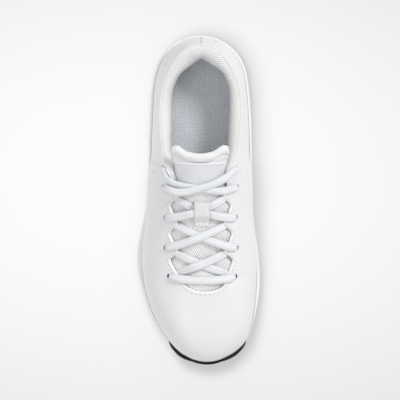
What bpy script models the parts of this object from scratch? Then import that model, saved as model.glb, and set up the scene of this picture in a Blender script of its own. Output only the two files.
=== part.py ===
"""Softball cleat, right shoe, as an assembly of separate solids.

Metres, +Z up. The toe points to -Y, the big-toe (medial) side is +X, the studs stand on z = 0,
and the origin is on the floor under the middle of the shoe.

The upper is a ring of profiles. Each profile climbs from the feather line, where the upper meets
the midsole, to the edge of the opening (throat and collar). A loop position s runs round the ring:
0 at the toe tip, 0 to 1 along the medial side, 1 at the back of the heel, and 1 to 2 back along
the lateral side. A height share t runs up each profile from 0 at the feather to 1 at the edge.
"""

import math

import bmesh
import bpy
import numpy as np
from mathutils import Vector
from mathutils.bvhtree import BVHTree

MM = 0.001

# Driving dimensions
LENGTH = 276 * MM
BALL_WIDTH = 95.4 * MM
INSTEP_HEIGHT = 96 * MM
HEEL_HEIGHT = 88 * MM

# Thicknesses and fits
WALL = 2.0 * MM
GAP = 0.35 * MM
PLATE = 3.0 * MM

# Section table of the upper, from the toe tip to the back of the heel. Stations are shares of
# LENGTH from the heel and widths shares of BALL_WIDTH, lateral negative. Edge heights are shares
# of INSTEP_HEIGHT along the throat and of HEEL_HEIGHT round the collar. Lean is the outward tilt
# at the feather and slope the tilt at the edge, in degrees; rise and reach are the pull of each.
# Flare is how far the midsole stands out past the feather line, in millimetres.
SECTION_COLUMNS = (
    "name", "station", "lateral", "medial", "edge_station", "edge_lateral", "edge_medial",
    "edge_height", "lean", "rise", "slope", "reach", "flare_lateral", "flare_medial",
)
THROAT_ROWS = (
    ("toe_tip", 0.991, 0.073, 0.073, 0.776, 0.053, 0.053, 0.667, 5, 0.70, 17, 0.48, 0.6, 0.6),
    ("toe_round", 0.975, -0.103, 0.245, 0.772, -0.034, 0.140, 0.665, 5, 0.70, 17, 0.48, 0.6, 0.6),
    ("toe_side", 0.926, -0.258, 0.408, 0.759, -0.107, 0.212, 0.663, 6, 0.67, 19, 0.47, 0.8, 0.8),
    ("toe_joint", 0.857, -0.382, 0.473, 0.739, -0.149, 0.237, 0.667, 7, 0.62, 22, 0.44, 1.5, 1.8),
    ("ball_front", 0.762, -0.473, 0.502, 0.708, -0.172, 0.234, 0.685, 7, 0.56, 25, 0.41, 2.4, 3.2),
    ("ball_back", 0.675, -0.495, 0.500, 0.656, -0.182, 0.229, 0.737, 8, 0.52, 27, 0.40, 4.2, 2.6),
    ("waist_front", 0.587, -0.464, 0.472, 0.578, -0.189, 0.224, 0.821, 10, 0.48, 30, 0.38, 3.4, 1.9),
    ("waist", 0.500, -0.439, 0.456, 0.500, -0.189, 0.219, 0.909, 11, 0.44, 34, 0.37, 1.7, 1.7),
    ("throat_top", 0.429, -0.428, 0.451, 0.444, -0.222, 0.245, 0.979, 10, 0.40, 42, 0.36, 1.7, 1.7),
)
COLLAR_ROWS = (
    ("collar_corner", 0.384, -0.422, 0.449, 0.409, -0.279, 0.296, 1.09, 8, 0.38, 60, 0.34, 1.7, 1.7),
    ("collar_front", 0.333, -0.418, 0.447, 0.351, -0.327, 0.344, 1.005, 6, 0.36, 75, 0.34, 1.7, 1.7),
    ("ankle", 0.246, -0.409, 0.440, 0.254, -0.350, 0.375, 0.864, 4, 0.36, 82, 0.34, 1.7, 1.7),
    ("heel_side", 0.150, -0.388, 0.417, 0.159, -0.323, 0.354, 0.869, 4, 0.36, 82, 0.34, 1.7, 1.7),
    ("heel_round", 0.069, -0.310, 0.346, 0.085, -0.216, 0.254, 0.943, 5, 0.36, 79, 0.34, 1.7, 1.7),
    ("heel_corner", 0.025, -0.180, 0.210, 0.047, -0.111, 0.147, 0.988, 5, 0.36, 77, 0.34, 1.7, 1.7),
    ("heel_back", 0.006, 0.016, 0.016, 0.034, 0.018, 0.018, 1.0, 5, 0.36, 76, 0.34, 1.6, 1.6),
)

# Side profile of the sole: share of LENGTH from the heel, underside of the outsole plate over the
# floor and midsole thickness, both in millimetres.
SOLE_ROWS = (
    (0.00, 12.4, 11.4),
    (0.08, 10.0, 12.0),
    (0.28, 10.0, 11.4),
    (0.42, 12.2, 8.6),
    (0.55, 10.8, 7.2),
    (0.68, 10.0, 6.2),
    (0.78, 10.2, 6.0),
    (0.90, 13.4, 5.6),
    (1.00, 19.6, 5.2),
)

# Front panel: it laps over the heel panel along the profile of this section, a step in the wall
PANEL_SECTION = "collar_corner"
PANEL_STEP = 0.6 * MM
PANEL_EDGE = 0.0007

# Height shares of the upper's mesh rows
UPPER_SHARES = np.linspace(0, 1, 10)

# Throat edge: sewn tabs with notches cut back between them, from the toe towards the collar. Each
# peak is a share of the way from one tab to the next, and the flank is the share of the full depth
# half-way to the peak.
TAB_STATIONS = (0.741, 0.660, 0.574, 0.494, 0.444)
NOTCH_DEPTHS = (7.6 * MM, 7.4 * MM, 7.4 * MM, 2.4 * MM)
NOTCH_PEAKS = (0.85, 0.74, 0.73, 0.70)
NOTCH_START = 0.12
NOTCH_FLANK = 0.56

# Eyelets: station of each row on the throat edge, and distance down the face from that edge.
EYELET_STATIONS = (0.712, 0.639, 0.551, 0.466, 0.412)
EYELET_INSETS = (11.5 * MM, 12.5 * MM, 13.0 * MM, 15.0 * MM, 9.0 * MM)
EYELET_DIAMETER = 4.4 * MM
EYELET_SIDES = 8

# Padded collar: thickness of the roll by loop position, in millimetres on the lateral and medial side
PAD_ROWS = (
    (0.564, 1.0, 1.0), (0.584, 5.8, 6.4), (0.606, 8.6, 9.6), (0.640, 8.4, 9.4), (0.690, 9.4, 9.6),
    (0.760, 9.5, 8.9), (0.820, 9.2, 7.9), (0.855, 10.8, 9.0), (0.890, 13.2, 11.7), (0.930, 14.3, 13.2),
    (0.970, 13.7, 13.2), (1.000, 12.4, 12.4),
)
COLLAR_LOW_ROW = 3
COLLAR_PROFILE = ((0.335, 0.08), (0.50, 0.55), (0.66, 0.95), (0.80, 1.0), (0.91, 0.86), (0.975, 0.52))

# Insole
INSOLE = 4.2 * MM
INSOLE_CUP = 3.0 * MM
INSOLE_CLEARANCE = 1.2 * MM

# Midsole: share of its thickness from the top, and set-back of its side from the full flare.
MIDSOLE_LIP = 2.6 * MM
MIDSOLE_SIDE = (
    (0.0, 0.0),
    (0.30, 0.2 * MM),
    (0.42, 1.5 * MM),
    (0.56, 1.5 * MM),
    (0.68, 0.3 * MM),
    (1.0, 1.9 * MM),
)

# Outsole: toe bumper, set-back of the plate under the midsole, and studs. The bumper's wall swells by
# millimetres at each loop position. Each loop of the rim has an inset as a share of the wall and as a
# length, its share of the bumper's height, and a drop below that height.
BUMPER_RISE = 3.6 * MM
BUMPER_WALL = 1.5 * MM
BUMPER_FULL, BUMPER_LOW, BUMPER_END = 0.05, 0.100, 0.148
BUMPER_SWELL = ((0, 0), (0.023, 0), (0.036, -0.25), (0.055, 0.6), (0.075, 1.3), (0.095, 0.8), (0.120, 0))
BUMPER_PROFILE = (
    (1, 0.2 * MM, 0, 0),
    (1, 0, 1, 0.1 * MM),
    (0.3, 0, 1, 0),
    (0, 0, 1, 0.5 * MM),
    (0, 0, 0, PLATE - 0.7 * MM),
    (0, 0.8 * MM, 0, PLATE),
)
PLATE_SETBACK = 2.6 * MM
STUD_TIP_SHARE = 0.62
STUD_STEP_SHARE = 0.86
STUD_STEP_HEIGHT = 0.72
STUD_SINK = 1.2 * MM
STUD_COLUMNS = ("name", "station", "across", "turn", "length", "width", "tip_lift")
STUD_ROWS = (
    ("toe", 0.935, 0.06, 0, 24, 9, 4.5),
    ("toe_lateral", 0.855, -0.62, 28, 19, 11, 0.6),
    ("toe_medial", 0.865, 0.66, -24, 19, 11, 0.6),
    ("ball_lateral", 0.755, -0.74, 80, 22, 11, 0),
    ("ball_medial", 0.765, 0.74, -82, 22, 11, 0),
    ("ball_centre", 0.790, 0.02, 0, 20, 10, 0),
    ("back_lateral", 0.645, -0.74, 96, 22, 11, 0),
    ("back_medial", 0.655, 0.74, -98, 22, 11, 0),
    ("heel_front_lateral", 0.235, -0.66, 92, 22, 11, 0),
    ("heel_front_medial", 0.235, 0.66, -92, 22, 11, 0),
    ("heel_back_lateral", 0.085, -0.56, 62, 20, 11, 0),
    ("heel_back_medial", 0.085, 0.56, -62, 20, 11, 0),
)

# Tongue: depth of its top face under the dome that joins the two throat edges. Rows in the throat
# give a station and a half width; rows past each end give a further run along Y, a rise, a half
# width and how much of the dome's crown is left, all in millimetres or shares. Seat rows give a run
# and a half width where the tongue is sewn up against the vamp. Horns give a share of the half width
# and how far the free top stands out there.
TONGUE_DEPTH = 5.0 * MM
TONGUE_THICKNESS = 3.4 * MM
TONGUE_THROAT_ROWS = (
    (0.705, 30), (0.664, 33), (0.622, 34), (0.580, 34), (0.539, 34), (0.497, 32), (0.456, 26.4),
)
TONGUE_SEAT_ROWS = ((-39, 13), (-32, 15))
TONGUE_TOE_ROWS = ((-21, -3.8, 20, 1.0), (-11, -2.0, 27, 1.0))
TONGUE_TOP_ROWS = (
    (7, 5.0, 23.4, 0.92),
    (14, 9.8, 24.6, 0.8),
    (19.5, 13.8, 25.9, 0.72),
    (23, 16.1, 26, 0.68),
)
TONGUE_SEAT = 2.9 * MM
TONGUE_COLUMNS = 13
TONGUE_HORN = ((0, 0), (0.25, 0.5), (0.5, 2.2), (0.68, 5.6), (0.82, 7.4), (0.94, 7.0), (1, 5.2))

# Tongue label: first and last row of the tongue it covers, columns left bare at each side
LABEL_ROWS = (-5, -3)
LABEL_BARE = 1
LABEL_THICKNESS = 0.8 * MM

# Lace keeper: webbing arch on the tongue
KEEPER_X = (-3.9 * MM, 8.9 * MM)
KEEPER_Y = (-21.4 * MM, -1.0 * MM)
KEEPER_THICKNESS = 1.2 * MM
KEEPER_ARCH = 7.0 * MM

# Laces: oval cord
LACE_WIDTH = 6.0 * MM
LACE_THICKNESS = 3.2 * MM
LACE_SIDES = 8
LACE_STEPS = 8
LACE_PROBES = 4
LACE_CLEARANCE = 1.15 * MM
LACE_LIFT = 2.0 * MM
# Each crossing has a strand on top, from the medial side down to the lateral, and one below it, from
# the lateral side down to the medial. Plan ends in millimetres; sag bends a strand towards the toe.
LACE_COLUMNS = ("name", "top_start", "top_end", "under_start", "under_end", "sag")
LACE_ROWS = (
    ("lace_cross_1", (20.0, -45.8), (-13.6, -59.6), (-16.2, -45.6), (21.8, -58.2), 2),
    ("lace_cross_2", (20.6, -22.0), (-26.2, -39.0), (-17.6, -22.0), (31.0, -37.0), 4),
    ("lace_cross_3", (19.8, 0.6), (-27.6, -15.0), (-16.6, -0.8), (30.9, -13.0), 7),
    ("lace_cross_4", (34.2, 24.4), (-30.4, 8.8), (-33.4, 23.4), (33.4, 9.8), 14),
)
LACE_BAR = ((-23.4, -63.2), (32.2, -61.4), 6)

# Materials: colour, roughness
MATERIALS = {
    "white_synthetic": ((0.88, 0.88, 0.89), 0.38),
    "white_mesh": ((0.90, 0.90, 0.90), 0.85),
    "white_label": ((0.86, 0.87, 0.90), 0.6),
    "white_lace": ((0.90, 0.91, 0.92), 0.8),
    "white_foam": ((0.90, 0.90, 0.91), 0.55),
    "grey_textile": ((0.32, 0.34, 0.38), 0.9),
    "black_rubber": ((0.015, 0.015, 0.017), 0.5),
}


# Curves
def spline(knots, values, period=None):
    """A smooth curve through values at knots: closed with that period, or with straight ends."""
    x = np.asarray(knots, float)
    v = np.asarray(values, float).reshape(len(x), -1)
    if period:
        x = np.append(x, x[0] + period)
        v = np.vstack([v, v[:1]])
    n = len(x)
    h = np.diff(x)
    slope = np.diff(v, axis=0) / h[:, None]
    a = np.zeros((n, n))
    b = np.zeros_like(v)
    for i in range(1, n - 1):
        a[i, i - 1:i + 2] = h[i - 1], 2 * (h[i - 1] + h[i]), h[i]
        b[i] = 6 * (slope[i] - slope[i - 1])
    if period:
        a[0, 0], a[0, -1] = 1, -1
        a[-1, [0, 1, -2, -1]] = 2 * h[0], h[0], h[-1], 2 * h[-1]
        b[-1] = 6 * (slope[0] - slope[-1])
    else:
        a[0, 0] = a[-1, -1] = 1
    bend = np.linalg.solve(a, b)

    def at(where):
        w = np.atleast_1d(np.asarray(where, float))
        if period:
            w = (w - x[0]) % period + x[0]
        i = np.clip(np.searchsorted(x, w, side="right") - 1, 0, n - 2)
        left, right, step = (w - x[i])[:, None], (x[i + 1] - w)[:, None], h[i][:, None]
        return (
            (bend[i] * right**3 + bend[i + 1] * left**3) / (6 * step)
            + (v[i] / step - bend[i] * step / 6) * right
            + (v[i + 1] / step - bend[i + 1] * step / 6) * left
        )

    return at


def ease(x, low, high):
    """0 below low, 1 above high, with a smooth step between."""
    share = np.clip((np.asarray(x, float) - low) / (high - low), 0, 1)
    return share * share * (3 - 2 * share)


def station_y(station):
    """Place along Y of a share of the length from the heel."""
    return (0.5 - np.asarray(station, float)) * LENGTH


# Sole heights
SOLE_AT = spline([row[0] for row in SOLE_ROWS], [row[1:] for row in SOLE_ROWS])


def plate_z(y):
    return SOLE_AT(0.5 - np.asarray(y) / LENGTH)[:, 0] * MM


def feather_z(y):
    """Top of the midsole, where the upper and the insole sit."""
    thickness = SOLE_AT(0.5 - np.asarray(y) / LENGTH)[:, 1] * MM
    return plate_z(y) + PLATE + GAP + thickness


# The last: control points of every section's profile, then a smooth ring through them
def read_sections():
    rows = []
    for group, height in ((THROAT_ROWS, INSTEP_HEIGHT), (COLLAR_ROWS, HEEL_HEIGHT)):
        for values in group:
            row = dict(zip(SECTION_COLUMNS, values))
            row["edge_z"] = row["edge_height"] * height
            rows.append(row)
    return rows


def profile_controls(row, side):
    """Four control points of one section's profile, from the feather to the edge."""
    y, edge_y = station_y(row["station"]), station_y(row["edge_station"])
    foot = np.array([row[side] * BALL_WIDTH, y, feather_z([y])[0] + GAP])
    edge = np.array([row["edge_" + side] * BALL_WIDTH, edge_y, row["edge_z"]])
    inward = np.append((edge - foot)[:2], 0)
    inward /= np.linalg.norm(inward)
    up = np.array([0, 0, 1])
    lean, slope = math.radians(row["lean"]), math.radians(row["slope"])
    rise = row["rise"] * (edge[2] - foot[2])
    reach = row["reach"] * np.linalg.norm(edge - foot)
    lower = foot + rise * (math.cos(lean) * up - math.sin(lean) * inward)
    higher = edge - reach * (math.cos(slope) * inward + math.sin(slope) * up)
    return np.concatenate([foot, lower, higher, edge])


SECTIONS = read_sections()
MEDIAL = np.array([profile_controls(row, "medial") for row in SECTIONS])
LATERAL = np.array([profile_controls(row, "lateral") for row in SECTIONS])
CHORDS = [
    sum(np.linalg.norm(side[i + 1, :2] - side[i, :2]) for side in (MEDIAL, LATERAL))
    for i in range(len(SECTIONS) - 1)
]
SECTION_U = np.concatenate([[0], np.cumsum(CHORDS)]) / sum(CHORDS)
RING_S = np.concatenate([SECTION_U, 2 - SECTION_U[-2:0:-1]])
CONTROLS_AT = spline(RING_S, np.vstack([MEDIAL, LATERAL[-2:0:-1]]), period=2)
FLARES = [row["flare_medial"] for row in SECTIONS] + [row["flare_lateral"] for row in SECTIONS[-2:0:-1]]
FLARE_AT = spline(RING_S, FLARES, period=2)
PANEL_U = SECTION_U[[row["name"] for row in SECTIONS].index(PANEL_SECTION)]


def ring(s):
    """Control points of the profiles at loop positions s, shape (n, 4, 3)."""
    controls = CONTROLS_AT(s).reshape(-1, 4, 3)
    controls[:, 0, 2] = feather_z(controls[:, 0, 1]) + GAP
    return controls


def on_profile(controls, t):
    """Points at height shares t of the same number of profiles."""
    t = np.asarray(t, float)[:, None]
    weights = ((1 - t) ** 3, 3 * t * (1 - t) ** 2, 3 * t**2 * (1 - t), t**3)
    return sum(w * controls[:, k] for k, w in enumerate(weights))


def skin(s, t, depth=0.0):
    """Points of the upper's outer face at loop positions s and height shares t, moved inwards."""
    s, t = (a.ravel() for a in np.broadcast_arrays(np.asarray(s, float), np.asarray(t, float)))
    point = on_profile(ring(s), t)
    step = 1e-4
    along = on_profile(ring(s + step), t) - on_profile(ring(s - step), t)
    up = on_profile(ring(s), t + step) - on_profile(ring(s), t - step)
    normal = np.cross(along, up)
    normal /= np.linalg.norm(normal, axis=1)[:, None]
    return point - normal * np.reshape(depth, (-1, 1))


def edge_u(station):
    """Medial loop position whose throat edge lies at that station."""
    u = np.linspace(0, 1, 2001)
    return np.interp(station_y(station), ring(u)[:, 3, 1], u)


def feather_outline(s, offset):
    """Plan points beside the feather line, moved outwards by offset."""
    s = np.asarray(s, float)
    step = 1e-4
    point = ring(s)[:, 0, :2]
    along = ring(s + step)[:, 0, :2] - ring(s - step)[:, 0, :2]
    outward = np.stack([along[:, 1], -along[:, 0]], axis=1)
    outward /= np.linalg.norm(outward, axis=1)[:, None]
    return point + outward * np.reshape(offset, (-1, 1))


def with_z(plan, z):
    return np.column_stack([plan, np.broadcast_to(z, len(plan))])


# Loop positions of the mesh columns
def notch_corners():
    """Loop positions of each notch's start, flank and peak, and of its end at the next tab."""
    for low, high, peak in zip(TAB_STATIONS[:-1], TAB_STATIONS[1:], NOTCH_PEAKS):
        shares = np.array((NOTCH_START, (NOTCH_START + peak) / 2, peak, 1))
        yield edge_u(low + shares * (high - low))


def side_positions():
    """Medial loop positions from toe to heel, with a column at every corner of a throat notch."""
    first, last = float(edge_u(TAB_STATIONS[0])), float(edge_u(TAB_STATIONS[-1]))
    columns = list(first * np.linspace(0, 1, 13) ** 1.15)
    for corners in notch_corners():
        columns += list(corners)
    columns += list(last + (1 - last) * np.linspace(0, 1, 20)[1:] ** 1.25)
    columns = [u for u in columns if abs(u - PANEL_U) > 8 * PANEL_EDGE]
    return np.sort(columns + [PANEL_U - PANEL_EDGE, PANEL_U + PANEL_EDGE])


def panel_depth(s):
    """How far the outer face is set back: behind the edge of the front panel."""
    return PANEL_STEP * (np.minimum(s, 2 - s) > PANEL_U)


def whole_ring(u):
    """The same positions on both sides, as one loop."""
    return np.concatenate([u, 2 - u[-2:0:-1]])


def notch_depth(s):
    """How far the throat edge is cut back between its tabs."""
    u = np.minimum(s, 2 - s)
    depth = np.zeros(len(u))
    for corners, full in zip(notch_corners(), NOTCH_DEPTHS):
        depth = np.maximum(depth, full * np.interp(u, corners, (0, NOTCH_FLANK, 1, 0)))
    return depth


def edge_t(s, distance):
    """Height share at a distance down the face from the edge."""
    controls = ring(s)
    speed = 3 * np.linalg.norm(controls[:, 3] - controls[:, 2], axis=1)
    return 1 - distance / speed


def eyelet_places():
    """Loop position and height share of each eyelet, medial then lateral."""
    u = np.array([float(edge_u(station)) for station in EYELET_STATIONS])
    s = np.concatenate([u, 2 - u])
    return s, edge_t(s, np.tile(EYELET_INSETS, 2))


# Meshes
def material(name):
    found = bpy.data.materials.get(name)
    if found:
        return found
    colour, roughness = MATERIALS[name]
    made = bpy.data.materials.new(name)
    made.use_nodes = True
    shader = made.node_tree.nodes["Principled BSDF"]
    shader.inputs["Base Color"].default_value = (*colour, 1)
    shader.inputs["Roughness"].default_value = roughness
    return made


def add_object(name, points, faces, material_name):
    mesh = bpy.data.meshes.new(name)
    mesh.from_pydata([tuple(map(float, p)) for p in points], [], [tuple(map(int, f)) for f in faces])
    shell = bmesh.new()
    shell.from_mesh(mesh)
    bmesh.ops.recalc_face_normals(shell, faces=shell.faces[:])
    shell.to_mesh(mesh)
    shell.free()
    mesh.shade_smooth()
    mesh.set_sharp_from_angle(angle=math.radians(40))
    mesh.materials.append(material(material_name))
    made = bpy.data.objects.new(name, mesh)
    bpy.context.scene.collection.objects.link(made)
    return made


def grid_faces(rows, columns, close_rows=False, close_columns=False):
    """Quads of a grid of points numbered row by row."""
    faces = []
    for i in range(rows if close_rows else rows - 1):
        for j in range(columns if close_columns else columns - 1):
            k, n = (i + 1) % rows, (j + 1) % columns
            faces.append((i * columns + j, i * columns + n, k * columns + n, k * columns + j))
    return faces


def tube_object(name, sections, material_name):
    """A closed solid through equal sections, each an array of points round it, with flat ends."""
    count, around = len(sections), len(sections[0])
    faces = grid_faces(count, around, close_columns=True)
    faces += [tuple(range(around)), tuple((count - 1) * around + i for i in range(around))]
    return add_object(name, np.vstack(sections), faces, material_name)


def stacked_object(name, loops, material_name):
    """A closed solid through ring loops from top to bottom. Strips from the lateral to the medial
    side, each at one place along Y, close the first and the last loop."""
    count, around = len(loops), len(loops[0])
    faces = grid_faces(count, around, close_columns=True)
    half = around // 2
    for start in (0, (count - 1) * around):
        for i in range(half):
            corners = [i, i + 1, (around - i - 1) % around, (around - i) % around]
            faces.append(tuple(start + c for c in dict.fromkeys(corners)))
    return add_object(name, np.vstack(loops), faces, material_name)


def boolean(target, tool, operation):
    """Cuts or joins the tool, and removes it."""
    change = target.modifiers.new(operation.lower(), "BOOLEAN")
    change.operation = operation
    change.solver = "EXACT"
    change.object = tool
    bpy.context.view_layer.update()
    graph = bpy.context.evaluated_depsgraph_get()
    mesh = bpy.data.meshes.new_from_object(target.evaluated_get(graph))
    target.modifiers.remove(change)
    target.data = mesh
    bpy.data.objects.remove(tool)


# The pieces
def make_upper():
    """One wall from feather to edge, open underneath, at the throat and at the collar."""
    s = whole_ring(side_positions())
    top = edge_t(s, notch_depth(s))
    outer = [skin(s, top * share, panel_depth(s)) for share in UPPER_SHARES]
    inner = [skin(s, top * share, WALL) for share in UPPER_SHARES[::-1]]
    loops = outer + inner
    faces = grid_faces(len(loops), len(s), close_rows=True, close_columns=True)
    return add_object("upper", np.vstack(loops), faces, "white_synthetic")


def eyelet_punches():
    """Short round punches through the wall, joined as one tool."""
    points, faces = [], []
    s, t = eyelet_places()
    outside, inside = skin(s, t, -2 * WALL), skin(s, t, 3 * WALL)
    turns = np.arange(EYELET_SIDES) * 2 * math.pi / EYELET_SIDES
    for high, low in zip(outside, inside):
        axis = (low - high) / np.linalg.norm(low - high)
        first = np.cross(axis, (0, 1, 0))
        first /= np.linalg.norm(first)
        second = np.cross(axis, first)
        circle = np.outer(np.cos(turns), first) + np.outer(np.sin(turns), second)
        start = len(points)
        points += list(high + circle * EYELET_DIAMETER / 2) + list(low + circle * EYELET_DIAMETER / 2)
        n = EYELET_SIDES
        faces += [tuple(start + k for k in face) for face in grid_faces(2, n, close_columns=True)]
        faces += [tuple(start + i for i in range(n)), tuple(start + n + i for i in range(n))]
    return add_object("eyelet_punches", points, faces, "white_synthetic")


def make_collar():
    """Padded roll inside the collar, from one throat top round the heel to the other."""
    u = side_positions()
    u = u[u >= edge_u(TAB_STATIONS[-1]) - 1e-9]
    s = np.concatenate([u, 2 - u[-2::-1]])
    fullness = ease(np.minimum(s, 2 - s), u[0] - 0.01, u[0] + 0.115)
    place, lateral, medial = np.array(PAD_ROWS).T
    thick = np.where(s > 1, spline(place, lateral)(2 - s)[:, 0], spline(place, medial)(s)[:, 0]) * MM
    fit = WALL + GAP + 0.4 * MM * (1 - fullness)
    shares = np.append(UPPER_SHARES[COLLAR_LOW_ROW:-1], 0.985)
    back = [skin(s, share, fit) for share in shares]
    front = []
    for share, fill in COLLAR_PROFILE[::-1]:
        front.append(skin(s, share, fit + 0.5 * MM + fill * thick))
    sections = np.stack(back + front, axis=1)
    return tube_object("collar_padding", list(sections), "white_mesh")


def tree_of(names):
    """One search tree over the faces of some pieces."""
    points, faces = [], []
    for name in names:
        mesh = bpy.data.objects[name].data
        start = len(points)
        points += [v.co.copy() for v in mesh.vertices]
        faces += [tuple(start + i for i in face.vertices) for face in mesh.polygons]
    return BVHTree.FromPolygons(points, faces)


def top_of(tree, x, y):
    """Height of the highest face at a plan point, 0 over an opening."""
    place, _, _, _ = tree.ray_cast(Vector((x, y, 1)), Vector((0, 0, -1)))
    return place.z if place else 0


def dome(u, samples=41):
    """Section across the throat at medial position u, from under the lateral eyestay to the medial."""
    shares = np.linspace(0.55, 1, samples)
    lateral, medial = skin(2 - u, shares), skin(u, shares)
    pull = 0.36 * np.linalg.norm(medial[-1] - lateral[-1])
    arms = [side[-1] - side[-2] for side in (lateral, medial)]
    arms = [arm / np.linalg.norm(arm) * pull for arm in arms]
    bridge = np.array([[lateral[-1], lateral[-1] + arms[0], medial[-1] + arms[1], medial[-1]]])
    across = np.linspace(0, 1, samples)[1:-1]
    middle = on_profile(np.repeat(bridge, len(across), axis=0), across)
    return np.vstack([lateral, middle, medial[::-1]])


def along_section(points, half_width, count):
    """Points at even distances along a section, measured from its middle."""
    run = np.concatenate([[0], np.cumsum(np.linalg.norm(np.diff(points, axis=0), axis=1))])
    middle = run[len(run) // 2]
    wanted = middle + np.linspace(-half_width, half_width, count)
    return np.column_stack([np.interp(wanted, run, points[:, k]) for k in range(3)])


def tongue_grid():
    """Dome over the tongue as rows of points from its toe end to its free top, with normals."""
    vamp = tree_of(("upper",))
    rows = []
    for station, half_width in TONGUE_THROAT_ROWS:
        rows.append(along_section(dome(float(edge_u(station))), half_width * MM, TONGUE_COLUMNS))

    def beyond(row, run, rise, half_width, crown):
        middle = row[TONGUE_COLUMNS // 2]
        widths = np.linspace(-half_width, half_width, TONGUE_COLUMNS) * MM
        drop = (row[:, 2] - middle[2]) * crown
        lag = (row[:, 1] - middle[1]) * crown
        x, y, z = middle
        return np.column_stack([x + widths, y + run * MM + lag, z + rise * MM + drop])

    def seat(row, run, half_width):
        x, y, _ = row[TONGUE_COLUMNS // 2] + (0, run * MM, 0)
        across = x + np.linspace(-half_width, half_width, TONGUE_COLUMNS) * MM
        return np.array([(w, y, top_of(vamp, w, y) - TONGUE_SEAT) for w in across])

    seats = np.array([seat(rows[0], *values) for values in TONGUE_SEAT_ROWS])
    toe = list(seats + (0, 0, TONGUE_DEPTH))
    toe += [beyond(rows[0], *values) for values in TONGUE_TOE_ROWS]
    top = [beyond(rows[-1], *values) for values in TONGUE_TOP_ROWS]
    grid = np.array(toe + rows + top)
    along, across = np.gradient(grid, axis=0), np.gradient(grid, axis=1)
    normal = np.cross(across, along)
    normal /= np.linalg.norm(normal, axis=2)[:, :, None]
    grid[:len(seats)] = seats + normal[:len(seats)] * TONGUE_DEPTH
    offside = np.abs(np.linspace(-1, 1, TONGUE_COLUMNS))
    horn = np.interp(offside, *np.array(TONGUE_HORN).T) * MM
    for k, share in ((-1, 1.0), (-2, 0.4)):
        heading = along[k] / np.linalg.norm(along[k], axis=1)[:, None]
        grid[k] += heading * (horn * share)[:, None]
    return grid, normal


def slab_object(name, grid, normal, high, low, material_name):
    """A sheet between two depths under a grid of points."""
    top, bottom = grid - normal * high, grid - normal * low
    sections = [np.vstack([a, b[::-1]]) for a, b in zip(top, bottom)]
    return tube_object(name, sections, material_name)


def make_tongue():
    grid, normal = tongue_grid()
    return slab_object("tongue", grid, normal, TONGUE_DEPTH, TONGUE_DEPTH + TONGUE_THICKNESS, "white_mesh")


def make_label():
    grid, normal = tongue_grid()
    rows = slice(LABEL_ROWS[0], LABEL_ROWS[1] + 1)
    columns = slice(LABEL_BARE, TONGUE_COLUMNS - LABEL_BARE)
    grid, normal = grid[rows, columns], normal[rows, columns]
    low = TONGUE_DEPTH - GAP
    return slab_object("tongue_label", grid, normal, low - LABEL_THICKNESS, low, "white_label")


def taut(run, height):
    """Heights of a string pulled tight over the given ones."""
    keep = [0]
    for i in range(1, len(run)):
        while len(keep) > 1:
            a, b = keep[-2], keep[-1]
            if (height[b] - height[a]) * (run[i] - run[a]) > (height[i] - height[a]) * (run[b] - run[a]):
                break
            keep.pop()
        keep.append(i)
    return np.interp(run, run[keep], height[keep])


def lace_strand(name, tree, start, end, sag, lift):
    """A cord from one plan point to another, tight over what lies under it."""
    start, end = np.array(start) * MM, np.array(end) * MM
    share = np.linspace(0, 1, LACE_STEPS * LACE_PROBES + 1)
    bend = (start + end) / 2 - (0, sag * MM)
    weights = np.column_stack([(1 - share) ** 2, 2 * share * (1 - share), share**2])
    path = weights @ np.array([start, bend, end])
    heading = np.gradient(path, axis=0)
    run = np.concatenate([[0], np.cumsum(np.linalg.norm(np.diff(path, axis=0), axis=1))])
    side = np.column_stack([-heading[:, 1], heading[:, 0]]) / np.linalg.norm(heading, axis=1)[:, None]
    left, middle, right = (
        taut(run, np.array([top_of(tree, *(p + k * LACE_WIDTH / 2 * w)) for p, w in zip(path, side)]))
        for k in (-1, 0, 1)
    )
    tilt = np.column_stack([side * LACE_WIDTH, right - left])
    tilt /= np.linalg.norm(tilt, axis=1)[:, None]
    height = np.maximum(middle, (left + right) / 2)
    up = np.cross(np.column_stack([heading, np.gradient(height)]), tilt)
    up /= np.linalg.norm(up, axis=1)[:, None]
    height = taut(run, height + (LACE_THICKNESS / 2 + LACE_CLEARANCE) / up[:, 2])
    height = height + lift * np.sin(share * math.pi) ** 4
    turns = np.arange(LACE_SIDES) * 2 * math.pi / LACE_SIDES
    wide, thick = np.cos(turns) * LACE_WIDTH / 2, np.sin(turns) * LACE_THICKNESS / 2
    sections = []
    for i in range(0, len(share), LACE_PROBES):
        sections.append(np.append(path[i], height[i]) + np.outer(wide, tilt[i]) + np.outer(thick, up[i]))
    return tube_object(name, sections, "white_lace")


def make_laces():
    tree = tree_of(("upper", "tongue", "tongue_label", "collar_padding"))
    for values in LACE_ROWS:
        row = dict(zip(LACE_COLUMNS, values))
        under = lace_strand(row["name"], tree, row["under_start"], row["under_end"], row["sag"], 0)
        top = lace_strand("lace_top", tree, row["top_start"], row["top_end"], row["sag"], LACE_LIFT)
        boolean(under, top, "UNION")
    lace_strand("lace_bar", tree, *LACE_BAR, 0)


def make_keeper():
    """Webbing sewn down at its toe end, arched over the third crossing."""
    tree = tree_of(("tongue",))
    sections = []
    for share in (0, 0.08, 0.16, 0.24, 0.32, 0.42, 0.60, 0.78, 0.92, 1):
        y = KEEPER_Y[0] + share * (KEEPER_Y[1] - KEEPER_Y[0])
        lift = GAP + KEEPER_ARCH * ease(share, 0.06, 0.36) * (1 - ease(share, 0.90, 1.0))
        low = [np.array([x, y, top_of(tree, x, y) + lift]) for x in np.linspace(*KEEPER_X, 5)]
        high = [p + (0, 0, KEEPER_THICKNESS) for p in low]
        sections.append(np.array(low + high[::-1]))
    return tube_object("lace_keeper", sections, "white_lace")


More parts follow.
